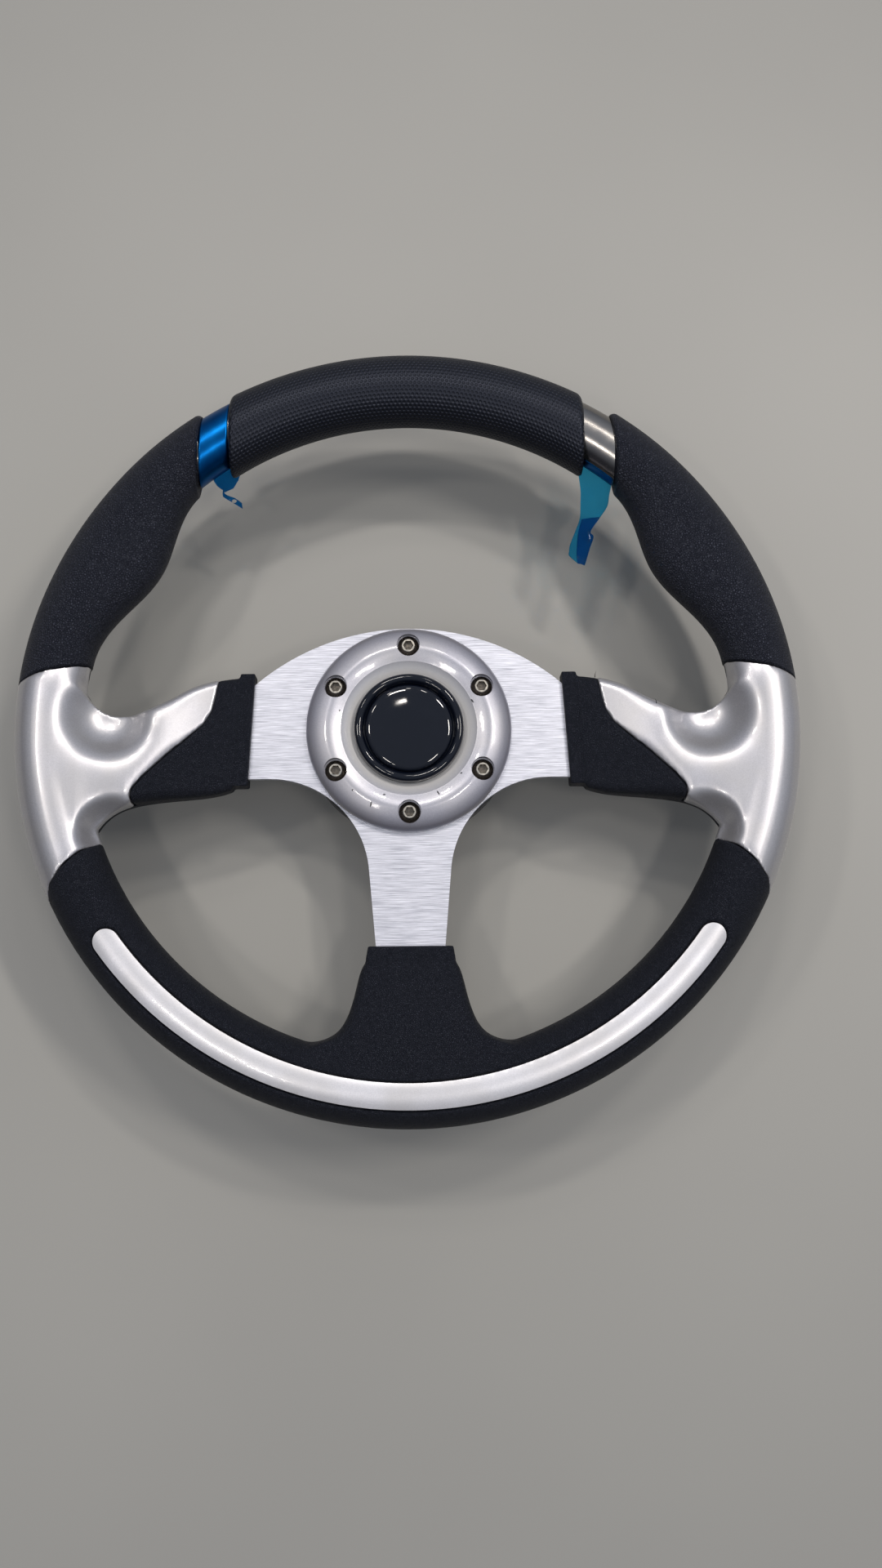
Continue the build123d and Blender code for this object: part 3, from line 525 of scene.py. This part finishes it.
# %% Give the CAD nodes their finishes
cad_finish = {
    "spoke_plate": brushed,
    "rim_bar": zinc_steel,
    "spoke_rivets": zinc_steel,
    "left_band": mirror_steel,
    "right_band": mirror_steel,
    "lower_inlay": inlay_pearl,
    "hub_trim": nicked_pearl_painted_light_and_shade,
    "hub_screws": dark_nickel,
    "horn_bezel": black_gloss,
    "horn_push": black_gloss,
    "contact_plate": yellow_brass,
    "horn_base": black_matt,
    "horn_terminals": yellow_brass,
    "hub_boss": black_cast,
}
for name, material in cad_finish.items():
    nodes[name].data.materials.clear()
    nodes[name].data.materials.append(material)
print(len(cad_finish), "CAD nodes have a finish")

# %% [markdown]
# ## Surfaces on a grid
# A moulded grip is a tube, so a point on it has two numbers: how far along the rim, and how far
# round the section. A whole grid of such points is worked out at once as arrays. The first and
# last rows shrink to a point, which closes the ends.

# %% Helpers that turn grids into pieces
MERGE_DISTANCE = 0.00001


def piece_from_grid(name, grid, material, uv=None, closed_round=True):
    """Mesh object from a grid of points in metres: rows run along, columns run round. Faces join
    each point to its neighbours, and the columns close on themselves if asked. The grid uv holds
    each point's place on the flat skin in millimetres."""
    rows, columns = grid.shape[:2]
    number = np.arange(rows * columns).reshape(rows, columns)
    after = np.roll(number, -1, axis=1) if closed_round else number[:, 1:]
    before = number if closed_round else number[:, :-1]
    faces = np.stack([before[:-1], after[:-1], after[1:], before[1:]], axis=-1).reshape(-1, 4)
    mesh = bpy.data.meshes.new(name)
    mesh.from_pydata(grid.reshape(-1, 3).tolist(), [], faces.tolist())
    if uv is not None:
        layer = mesh.uv_layers.new(name="skin")
        place = uv.reshape(-1, 2)[faces]
        if closed_round:
            # the last faces of a row meet its first column again, one whole turn further on
            wrap = uv[0, -1, 1] + (uv[0, 1, 1] - uv[0, 0, 1])
            last = (faces % columns) == 0
            first = ((faces % columns) == columns - 1).any(axis=1)[:, None] & last
            place[..., 1] = np.where(first, wrap, place[..., 1])
        layer.data.foreach_set("uv", place.reshape(-1))
    mesh.materials.append(material)
    mesh.validate()
    mesh.update()
    made = bpy.data.objects.new(name, mesh)
    bpy.context.scene.collection.objects.link(made)
    return made


def smooth_outwards(made):
    """Merges doubled points, points the faces outwards and shades them smooth."""
    work = bmesh.new()
    work.from_mesh(made.data)
    bmesh.ops.remove_doubles(work, verts=work.verts, dist=MERGE_DISTANCE)
    bmesh.ops.recalc_face_normals(work, faces=work.faces)
    work.to_mesh(made.data)
    work.free()
    made.data.shade_smooth()
    triangles = sum(len(p.vertices) - 2 for p in made.data.polygons)
    print(made.name, "has", triangles, "triangles")
    return made


def lip_inset(distance, radius):
    """How far a section has drawn in at a distance from its end, for a rounded end edge:
    radius minus the height of a quarter circle over the distance."""
    short = np.clip(radius - distance, 0.0, radius)
    return radius - np.sqrt(np.maximum(radius ** 2 - short ** 2, 0.0))


print("helpers ready")

# %% [markdown]
# ## Top grip
# The top grip is the part of the rim between the two bands. Its ends are cut square to the
# picture, not to the rim, so rows run at equal steps of x. At each x and each angle round the
# oval section the radius is known, and y follows from it by Pythagoras. The ends roll in over a
# lip, and a narrow neck goes on under each band.

# %% Top grip surface
TOP_SWELLING = 2.7
NECK_LENGTH = 5.0


def top_grip_grid(columns=128):
    """Grid of the top grip: y is the square root of section radius squared minus x squared."""
    inner = RIM_RADIUS - RIM_WIDTH / 2 - TOP_SWELLING
    centre = (WHEEL_RADIUS + inner) / 2
    half = (WHEEL_RADIUS - inner) / 2
    body = np.linspace(-TOP_GRIP_HALF, TOP_GRIP_HALF, 160)
    near_end = TOP_GRIP_HALF - np.array([0.0, 0.1, 0.3, 0.6, 1.0, 1.5, 2.0])
    x = np.unique(np.concatenate([body, near_end, -near_end]))
    shrink = lip_inset(TOP_GRIP_HALF - np.abs(x), LIP)
    wide = half - shrink
    tall = RIM_HEIGHT / 2 - shrink
    middle = np.full_like(x, centre)
    neck_x = TOP_GRIP_HALF + np.array([0.0, NECK_LENGTH, NECK_LENGTH])
    neck_half = np.array([NECK_RADIUS, NECK_RADIUS, 0.0])
    x = np.concatenate([-neck_x[::-1], x, neck_x])
    wide = np.concatenate([neck_half[::-1], wide, neck_half])
    tall = np.concatenate([neck_half[::-1], tall, neck_half])
    rim_middle = np.full(3, RIM_RADIUS)
    middle = np.concatenate([rim_middle, middle, rim_middle])
    round_angle = np.linspace(0, 2 * np.pi, columns, endpoint=False) - np.pi / 2
    radius = middle[:, None] + wide[:, None] * np.cos(round_angle)
    height = MID + tall[:, None] * np.sin(round_angle)
    across = np.broadcast_to(x[:, None], radius.shape)
    grid = np.stack([across, np.sqrt(radius ** 2 - across ** 2), height], axis=-1)
    arc = np.arcsin(np.clip(x / centre, -1, 1)) * centre
    girth = (round_angle + np.pi / 2) * (half + RIM_HEIGHT / 2) / 2
    uv = np.stack(np.broadcast_arrays(arc[:, None], girth[None, :]), axis=-1)
    return grid * MM, uv


grid, uv = top_grip_grid()
top_grip = smooth_outwards(piece_from_grid("top_grip_skin", grid, dimpled_foam, uv))
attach(top_grip, "wheel")
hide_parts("top_grip")

# %% [markdown]
# ## Side grips
# The side grips swell inwards under the palm and are dished a little for the thumb on the face.
# One end is cut square to the picture, the other along the edge of the silver cover, given as
# points in the plan. The angle where each line round the grip meets such a cut is found by a few
# rounds of correction: take the radius at the last angle, and work out the angle again.

# %% Side grip surface
PALM_DEPTH = 12.0
PALM_ANGLE = 32.0
COVER_EDGE = np.array([(116.6, 34.5), (138.0, 28.6), (159.0, 24.2), (169.5, 20.0),
                       (190.6, 10.0)])
DISH_DEPTH, DISH_ANGLE, DISH_RADIUS, DISH_SIZE = 1.5, 35.0, 149.0, 9.0
NECK_INNER, NECK_POLE = 87.0, 85.0


def palm(angle):
    """Inward swelling at angles in degrees: a cosine hill, a little longer below its top."""
    reach = np.where(angle > PALM_ANGLE, 18.0, 19.5)
    turn = np.clip((angle - PALM_ANGLE) / reach, -1, 1)
    return PALM_DEPTH * (1 + np.cos(np.pi * turn)) / 2


def side_grip_grid(rows=150, columns=128):
    """Grid of the right-hand side grip between its two end cuts."""
    round_angle = np.linspace(0, 2 * np.pi, columns, endpoint=False) - np.pi / 2

    def radius_at(angle):
        inner = RIM_RADIUS - RIM_WIDTH / 2 - palm(angle)
        return (WHEEL_RADIUS + inner) / 2 + (WHEEL_RADIUS - inner) / 2 * np.cos(round_angle)

    # both ends start at a rough angle in degrees, and twelve rounds bring them to the cuts
    high = np.full(columns, 52.0)
    low = np.full(columns, 10.0)
    for _ in range(12):
        high = np.degrees(np.arccos(BAND_END / radius_at(high)))
        x = radius_at(low) * np.cos(np.radians(low))
        low = np.degrees(np.arctan2(np.interp(x, COVER_EDGE[:, 0], COVER_EDGE[:, 1]), x))
    step = np.linspace(0, 1, rows)
    step = np.unique(np.concatenate([step, 1 - np.array([0.001, 0.004, 0.01, 0.016, 0.022])]))
    angle = low + (high - low) * step[:, None]
    from_end = (high - angle) * np.pi / 180 * RIM_RADIUS
    shrink = lip_inset(from_end, LIP)
    inner = RIM_RADIUS - RIM_WIDTH / 2 - palm(angle)
    wide = (WHEEL_RADIUS - inner) / 2 - shrink
    tall = RIM_HEIGHT / 2 - shrink
    radius = (WHEEL_RADIUS + inner) / 2 + wide * np.cos(round_angle)
    height = tall * np.sin(round_angle)
    dish = np.exp(-((angle - DISH_ANGLE) / DISH_SIZE) ** 2
                  - ((radius - DISH_RADIUS) / DISH_SIZE) ** 2)
    height = height - np.where(height > 0, DISH_DEPTH * dish, 0.0)
    grid = np.stack([radius * np.cos(np.radians(angle)), radius * np.sin(np.radians(angle)),
                     MID + height], axis=-1)

    def neck_row(x, size):
        section = RIM_RADIUS + size * np.cos(round_angle)
        return np.stack([np.full(columns, x), np.sqrt(section ** 2 - x ** 2),
                         MID + size * np.sin(round_angle)], axis=-1)[None]

    foot = grid[0].mean(axis=0, keepdims=True) + 0 * grid[0]
    return np.concatenate([foot[None], grid, neck_row(BAND_END, NECK_RADIUS),
                           neck_row(NECK_INNER, NECK_RADIUS), neck_row(NECK_POLE, 0.0)]) * MM


for side, name in ((1, "right_grip"), (-1, "left_grip")):
    grid = side_grip_grid() * np.array([side, 1.0, 1.0])
    grip = smooth_outwards(piece_from_grid(name + "_skin", grid, leather_foam))
    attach(grip, "wheel")
    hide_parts(name)

# %% [markdown]
# ## Covers and lower rim with soft edges
# The black covers at the side spokes, the silver shells on them and the lower rim with its foot
# have many edges, all of them slightly rounded by the mould. A copy of the CAD piece is merged,
# wrapped in an even skin of small squares, and relaxed a little: each point moves part of the way
# to the middle of its neighbours and then back out, which rounds edges and keeps the size.
#
# The scoops of the silver shells are cut as bells in the CAD model and keep a crease round them,
# where the moulded part flows. So the shells, and the corners of the lower spoke's foot, are
# softened again along circles in the plan. There a point moves only along its own normal, towards
# the middle of its neighbours.

# %% Helpers that soften a mesh
def read_points(mesh, kind):
    """The co or the normal of every point, as rows of three."""
    values = np.empty(len(mesh.vertices) * 3)
    mesh.vertices.foreach_get(kind, values)
    return values.reshape(-1, 3)


def write_points(mesh, place):
    """Moves the points of a mesh."""
    mesh.vertices.foreach_set("co", place.reshape(-1))
    mesh.update()


def way_to_neighbours(mesh):
    """A function that gives, for places of the mesh's points, the steps to their neighbours'
    mean."""
    count = len(mesh.vertices)
    pairs = np.empty(len(mesh.edges) * 2, int)
    mesh.edges.foreach_get("vertices", pairs)
    first, second = pairs.reshape(-1, 2).T
    ends = np.concatenate([first, second])
    others = np.concatenate([second, first])
    weight = np.bincount(ends, minlength=count)[:, None]

    def steps(place):
        total = [np.bincount(ends, place[others, k], count) for k in range(3)]
        return np.stack(total, axis=-1) / weight - place

    return steps


def relax(mesh, passes):
    """Rounds a mesh without shrinking it. Each pass moves all points towards their neighbours'
    mean by half of the way, and then away from it by a little more than half."""
    steps = way_to_neighbours(mesh)
    place = read_points(mesh, "co")
    for _ in range(passes):
        for share in (0.5, -0.52):
            place += share * steps(place)
    write_points(mesh, place)


def soften(mesh, circles, passes, fill_only=False):
    """Softens a mesh along circles, each (x, y, radius, width) in millimetres. Points move along
    their own normals towards their neighbours' mean, by nine tenths of the way on the circle and
    by less as a bell curve away from it. With fill_only, hollow corners fill up and nothing else
    moves."""
    steps = way_to_neighbours(mesh)
    place = read_points(mesh, "co")
    flat = place[:, :2] / MM
    far = np.min([np.abs(np.hypot(flat[:, 0] - x, flat[:, 1] - y) - radius) / width
                  for x, y, radius, width in circles], axis=0)
    share = 0.9 * np.exp(-far ** 2)[:, None]
    for _ in range(passes):
        write_points(mesh, place)
        outward = read_points(mesh, "normal")
        along = (steps(place) * outward).sum(axis=1, keepdims=True)
        if fill_only:
            along = np.maximum(along, 0.0)
        place = place + share * along * outward
    write_points(mesh, place)


def soft_copy(node, name, voxel, passes, material):
    """A merged copy of a CAD node, rebuilt in squares of a size in millimetres and relaxed."""
    made = bpy.data.objects.new(name, nodes[node].data.copy())
    bpy.context.scene.collection.objects.link(made)
    smooth_outwards(made)
    rebuild = made.modifiers.new("skin", "REMESH")
    rebuild.mode = "VOXEL"
    rebuild.voxel_size = voxel * MM
    graph = bpy.context.evaluated_depsgraph_get()
    mesh = bpy.data.meshes.new_from_object(made.evaluated_get(graph))
    made.modifiers.clear()
    made.data = mesh
    relax(mesh, passes)
    mesh.materials.clear()
    mesh.materials.append(material)
    mesh.shade_smooth()
    print(name, "has", 2 * len(mesh.polygons), "triangles after the rebuild")
    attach(made, "wheel")
    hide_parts(node)
    return made


print("softening helpers ready")

# %% [markdown]
# The squares are as small as each piece's own edges need. The corners where the foot meets the rim
# are only filled. On a shell the lower scoop and the crown of the rim need a little softening, and
# the upper scoop and the point where it runs out over the arm need more.

# %% Soft covers, lower rim and shells
soft_copy("left_boot", "left_cover_skin", 0.7, 4, fine_foam)
soft_copy("right_boot", "right_cover_skin", 0.7, 4, fine_foam)
lower_skin = soft_copy("lower_rim", "lower_rim_skin", 0.95, 8, fine_foam)
foot_corners = [(42.0, -135.4, 0.0, 9.0), (-42.0, -135.4, 0.0, 9.0)]
soften(lower_skin.data, foot_corners, 60, fill_only=True)
for side, node in ((-1, "left_shell"), (1, "right_shell")):
    silver = soft_copy(node, node + "_skin", 0.6, 6, pearl)
    soften(silver.data, [(side * 128.5, -45.5, 19.5, 5.0), (0.0, 0.0, 153.0, 5.0)], 24)
    soften(silver.data, [(side * 131.0, 5.5, 26.0, 8.0), (side * 112.0, 11.0, 0.0, 10.0)], 90)

# %% [markdown]
# ## Curves through points
# Small free things, such as a hair of flash or the edge of a torn film, follow a line that is
# read from the photograph as a few points. A smooth curve joins them.

# %% Helper for smooth curves
def curve_through(points, count):
    """Smooth curve through points, sampled evenly in the point number: a cubic in each interval
    whose slope at a point is half the step from the point before to the point after."""
    points = np.array(points, float)
    slope = np.gradient(points, axis=0)
    place = np.linspace(0, len(points) - 1, count)
    cell = np.minimum(place.astype(int), len(points) - 2)
    t = (place - cell)[:, None]
    start, stop = points[cell], points[cell + 1]
    rise, fall = slope[cell], slope[cell + 1]
    return ((2 * t ** 3 - 3 * t ** 2 + 1) * start + (t ** 3 - 2 * t ** 2 + t) * rise
            + (3 * t ** 2 - 2 * t ** 3) * stop + (t ** 3 - t ** 2) * fall)


print("curve helper ready")

# %% [markdown]
# ## Mould flash
# Where the mould halves of the right cover meet, two short hairs of flash were never trimmed. Each
# is a thin, slightly flat tube along a bent line that narrows to a point.

# %% Hairs of flash on the right cover
HAIR_RADIUS = 0.22


def flash_hair(points, thick, rows=10, columns=8):
    """Grid of a tube along a smooth curve: its radius falls evenly from thick to nearly nothing.
    Both end rows are a single point, which closes the tube."""
    line = curve_through(points, rows)[:, None, :]
    angle = np.linspace(0, 2 * np.pi, columns, endpoint=False)[None, :]
    radius = thick * np.linspace(1.0, 0.05, rows)[:, None]
    radius[0] = radius[-1] = 0.0
    ring = np.stack([np.cos(angle) + 0 * radius, 0.5 * np.sin(angle) + 0 * radius,
                     0.8 * np.sin(angle) + 0 * radius], axis=-1)
    return (line + radius[..., None] * ring) * MM


hairs = {"upper": [(81.9, 21.6, 53.6), (81.9, 22.9, 54.6), (82.4, 24.2, 55.4)],
         "lower": [(107.8, 8.6, 58.6), (107.4, 9.8, 60.0), (106.7, 10.6, 60.7)]}
for place_name, points in hairs.items():
    grid = flash_hair(points, HAIR_RADIUS)
    hair = smooth_outwards(piece_from_grid("right_flash_" + place_name, grid, fine_foam))
    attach(hair, "wheel")

# %% [markdown]
# ## Torn blue film
# The film was cut as a strip and wrapped round each band. On the left it still clings all round,
# with a torn flap at the inner side and a scrap that hangs by a thread of film. On the right it was
# pulled off towards the driver, and the whole strip hangs from the inner side, folded on itself
# lower down. Each free piece is a surface between two edge lines, read from the photograph: points
# along both edges are joined by smooth curves, and the rows between them are straight.

# %% Helpers for film
FREE_FILM = 0.12
HELD_FILM = 0.08
FILM_GAP = 0.14


def flat_area(grid):
    """Area of a grid surface in square metres: half the cross products of each cell's diagonals."""
    first = grid[1:, 1:] - grid[:-1, :-1]
    second = grid[1:, :-1] - grid[:-1, 1:]
    return float(np.linalg.norm(np.cross(first, second), axis=-1).sum() / 2)


def flat_sides(grid):
    """Longest way over a grid surface along its rows and along its columns, in metres."""
    ways = [np.linalg.norm(np.diff(grid, axis=k), axis=-1).sum(axis=k) for k in (0, 1)]
    return [float(way.max()) for way in ways]


def straight_through(points, count):
    """Points on straight lines from point to point, sampled evenly in the point number. It does
    for a torn edge what curve_through does for a cut one."""
    points = np.array(points, float)
    place = np.linspace(0, len(points) - 1, count)
    number = np.arange(len(points))
    return np.stack([np.interp(place, number, points[:, k]) for k in range(3)], axis=-1)


def thicken(film, thickness):
    """Gives a film its thickness in millimetres, half of it to each side of the grid."""
    wall = film.modifiers.new("thickness", "SOLIDIFY")
    wall.thickness = thickness * MM
    wall.offset = 0.0


def hanging_film(name, left, right, material, rows, columns=14, bow=0.5,
                 edge=curve_through, hole=None):
    """Film between two edge curves. The middle of each row bows up by a sine of the way across.
    A hole, as (x, y, half length, half width) in millimetres, takes the cells whose middle is in
    it. Gives the film, its flat width and length in metres and its flat area."""
    first = edge(left, rows)[:, None, :]
    last = edge(right, rows)[:, None, :]
    across = np.linspace(0, 1, columns)[None, :, None]
    grid = first + (last - first) * across
    grid[..., 2] += bow * np.sin(np.pi * across[..., 0])
    grid = grid * MM
    film = piece_from_grid(name, grid, material, closed_round=False)
    if hole:
        x, y, half_length, half_width = hole
        work = bmesh.new()
        work.from_mesh(film.data)
        middles = {face: face.calc_center_median() for face in work.faces}
        torn = [face for face, middle in middles.items()
                if ((middle.x / MM - x) / half_length) ** 2
                + ((middle.y / MM - y) / half_width) ** 2 < 1.0]
        bmesh.ops.delete(work, geom=torn, context="FACES")
        work.to_mesh(film.data)
        work.free()
    film.data.shade_smooth()
    thicken(film, FREE_FILM)
    width = float(np.linalg.norm(grid[:, -1] - grid[:, 0], axis=-1).max())
    length = flat_sides(grid)[0]
    print(name, "is", round(width / MM, 1), "by", round(length / MM, 1), "mm")
    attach(film, "wheel")
    return film, width, length, flat_area(grid)


print("film helpers ready")

# %% [markdown]
# Film that still holds on a band follows its oval section, a little off the steel, and stops just
# short of the band's ends. On the left it is a whole sleeve.

# %% Film still wrapped round the left band
def film_on_band(side, margin, angle, rows=12):
    """Grid on a band: x runs along it, the oval section gives radius and height at each angle."""
    x = side * np.linspace(TOP_GRIP_HALF + margin, BAND_END - margin, rows)[:, None]
    angle = angle[None, :]
    radius = RIM_RADIUS + (BAND_HALF + FILM_GAP) * np.cos(angle)
    height = MID + (BAND_HALF_HEIGHT + FILM_GAP) * np.sin(angle) + 0.0 * x
    return np.stack([x + 0.0 * angle, np.sqrt(radius ** 2 - x ** 2), height], axis=-1) * MM


grid = film_on_band(-1, 0.2, np.linspace(0, 2 * np.pi, 96, endpoint=False))
wrap = piece_from_grid("left_film_wrap", grid, film_on_steel)
wrap.data.shade_smooth()
# the whole thickness of the sleeve lies outside this grid, away from the steel
wall = wrap.modifiers.new("thickness", "SOLIDIFY")
wall.thickness = HELD_FILM * MM
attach(wrap, "wheel")

# %% [markdown]
# The flap is torn, so its edges run straight from corner to corner. It narrows to a thread that
# twists, and the scrap below it has a small hole.

# %% Torn flap and scrap on the left
flap_left = [
    (-87.5, 116.4, 48.4), (-87.4, 115.5, 46.0), (-86.2, 114.1, 44.0), (-84.9, 113.3, 43.0),
    (-83.9, 112.9, 42.2), (-84.1, 111.8, 41.4), (-84.0, 110.3, 40.6), (-82.2, 109.1, 40.3),
    (-80.7, 108.3, 40.1), (-78.1, 106.7, 39.9), (-75.1, 104.8, 39.8)]
flap_right = [
    (-79.3, 121.4, 48.4), (-75.6, 121.6, 46.4), (-75.4, 120.2, 45.0), (-76.7, 117.1, 43.5),
    (-79.0, 113.6, 42.5), (-83.5, 111.9, 41.5), (-82.6, 111.2, 40.7), (-81.1, 110.6, 40.4),
    (-78.7, 109.8, 40.1), (-77.1, 108.7, 40.0), (-75.5, 107.5, 39.8)]
left_tail, width, length, area = hanging_film(
    "left_film_tail", flap_left, flap_right, deep_film, rows=121, columns=18, bow=0.3,
    edge=straight_through, hole=(-78.9, 108.3, 1.1, 0.8))
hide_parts("left_film")

# %% [markdown]
# The strip hangs down and is folded back up on itself near its end. Both layers are one sheet: the
# edge points run down the strip and then back up the fold. Behind two layers the floor looks deep
# blue, so the folded part has the deeper finish.

# %% Folded strip on the right
strip_left = [(77.2, 123.4, 50.0), (77.7, 119.5, 46.0), (78.9, 111.5, 43.5), (78.8, 104.1, 42.5),
              (78.4, 98.4, 42.0), (76.2, 92.4, 41.5), (73.8, 86.4, 41.0), (73.3, 83.5, 40.5),
              (73.4, 81.4, 40.0), (76.7, 78.3, 40.0)]
strip_right = [(93.8, 120.6, 50.0), (93.4, 115.9, 46.0), (92.0, 109.0, 43.5), (91.1, 104.0, 42.5),
               (87.4, 98.4, 42.0), (83.2, 92.4, 41.5), (84.6, 90.0, 41.0), (82.8, 84.6, 40.5),
               (81.2, 79.4, 40.0), (80.4, 77.1, 40.0)]
fold_left = [(79.2, 97.8, 42.8), (77.6, 92.2, 42.3), (76.9, 86.2, 41.8), (76.7, 83.3, 41.3),
             (76.7, 80.4, 40.8), (77.0, 77.9, 40.7)]
fold_right = [(87.6, 98.7, 42.8), (83.2, 92.2, 42.3), (84.5, 89.8, 41.8), (82.7, 84.4, 41.3),
              (81.1, 79.2, 40.8), (80.3, 77.1, 40.7)]
right_tail, width, length, area = hanging_film(
    "right_film_tail", strip_left + fold_left[::-1], strip_right + fold_right[::-1], blue_film,
    rows=96)
right_tail.data.materials.append(deep_film)
strip_share = len(strip_left) / (len(strip_left) + len(fold_left))
fold_start = strip_share * len(right_tail.data.polygons)
for face in right_tail.data.polygons:
    face.material_index = int(face.index > fold_start)
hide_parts("right_film")

# %% [markdown]
# Where the strip was pulled off, a patch of it still clings to the band's inner side. It is the
# same surface as the sleeve, over the part of the section from 160 to 220 degrees.

# %% Film that still clings to the inner side of the right band
grid = film_on_band(1, 0.3, np.radians(np.linspace(160.0, 220.0, 40)))
patch = piece_from_grid("right_film_patch", grid, film_on_steel, closed_round=False)
patch.data.shade_smooth()
thicken(patch, HELD_FILM)
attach(patch, "wheel")

# %% [markdown]
# ## Spring of the horn push
# Under the push sits a coil of round spring wire. A CAD spring is rigid, so the pressed push would
# cut through it. Here the same coil is a tube along a helix whose end turns lie flatter, as high as
# the CAD spring.

# %% Coil between the base and the contact plate
SPRING_RADIUS, WIRE_RADIUS, TURNS = 7.0, 0.5, 3.5
END_SHARE = 0.11


def coil_spring(foot, top, rows=281, columns=10):
    """Tube round a helix. Its height is foot + (top - foot) * (t - END_SHARE * sin(2 pi t)) for t
    from 0 to 1, so the pitch is small at both ends. The end rows are points and close the wire."""
    t = np.linspace(0.0, 1.0, rows)[:, None]
    turn = 2 * np.pi * TURNS * t
    height = foot + (top - foot) * (t - END_SHARE * np.sin(2 * np.pi * t))
    round_wire = np.linspace(0, 2 * np.pi, columns, endpoint=False)[None, :]
    thick = np.full_like(t, WIRE_RADIUS)
    thick[0] = thick[-1] = 0.0
    out = SPRING_RADIUS + thick * np.cos(round_wire)
    return np.stack([out * np.cos(turn), out * np.sin(turn),
                     height + thick * np.sin(round_wire)], axis=-1) * MM


low, high = (corner[2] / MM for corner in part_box("horn_spring"))
grid = coil_spring(low + WIRE_RADIUS, high - WIRE_RADIUS)
coil = smooth_outwards(piece_from_grid("horn_coil", grid, zinc_steel))
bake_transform(coil)
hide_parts("horn_spring")
print("coil is", round(high - low, 2), "mm high")
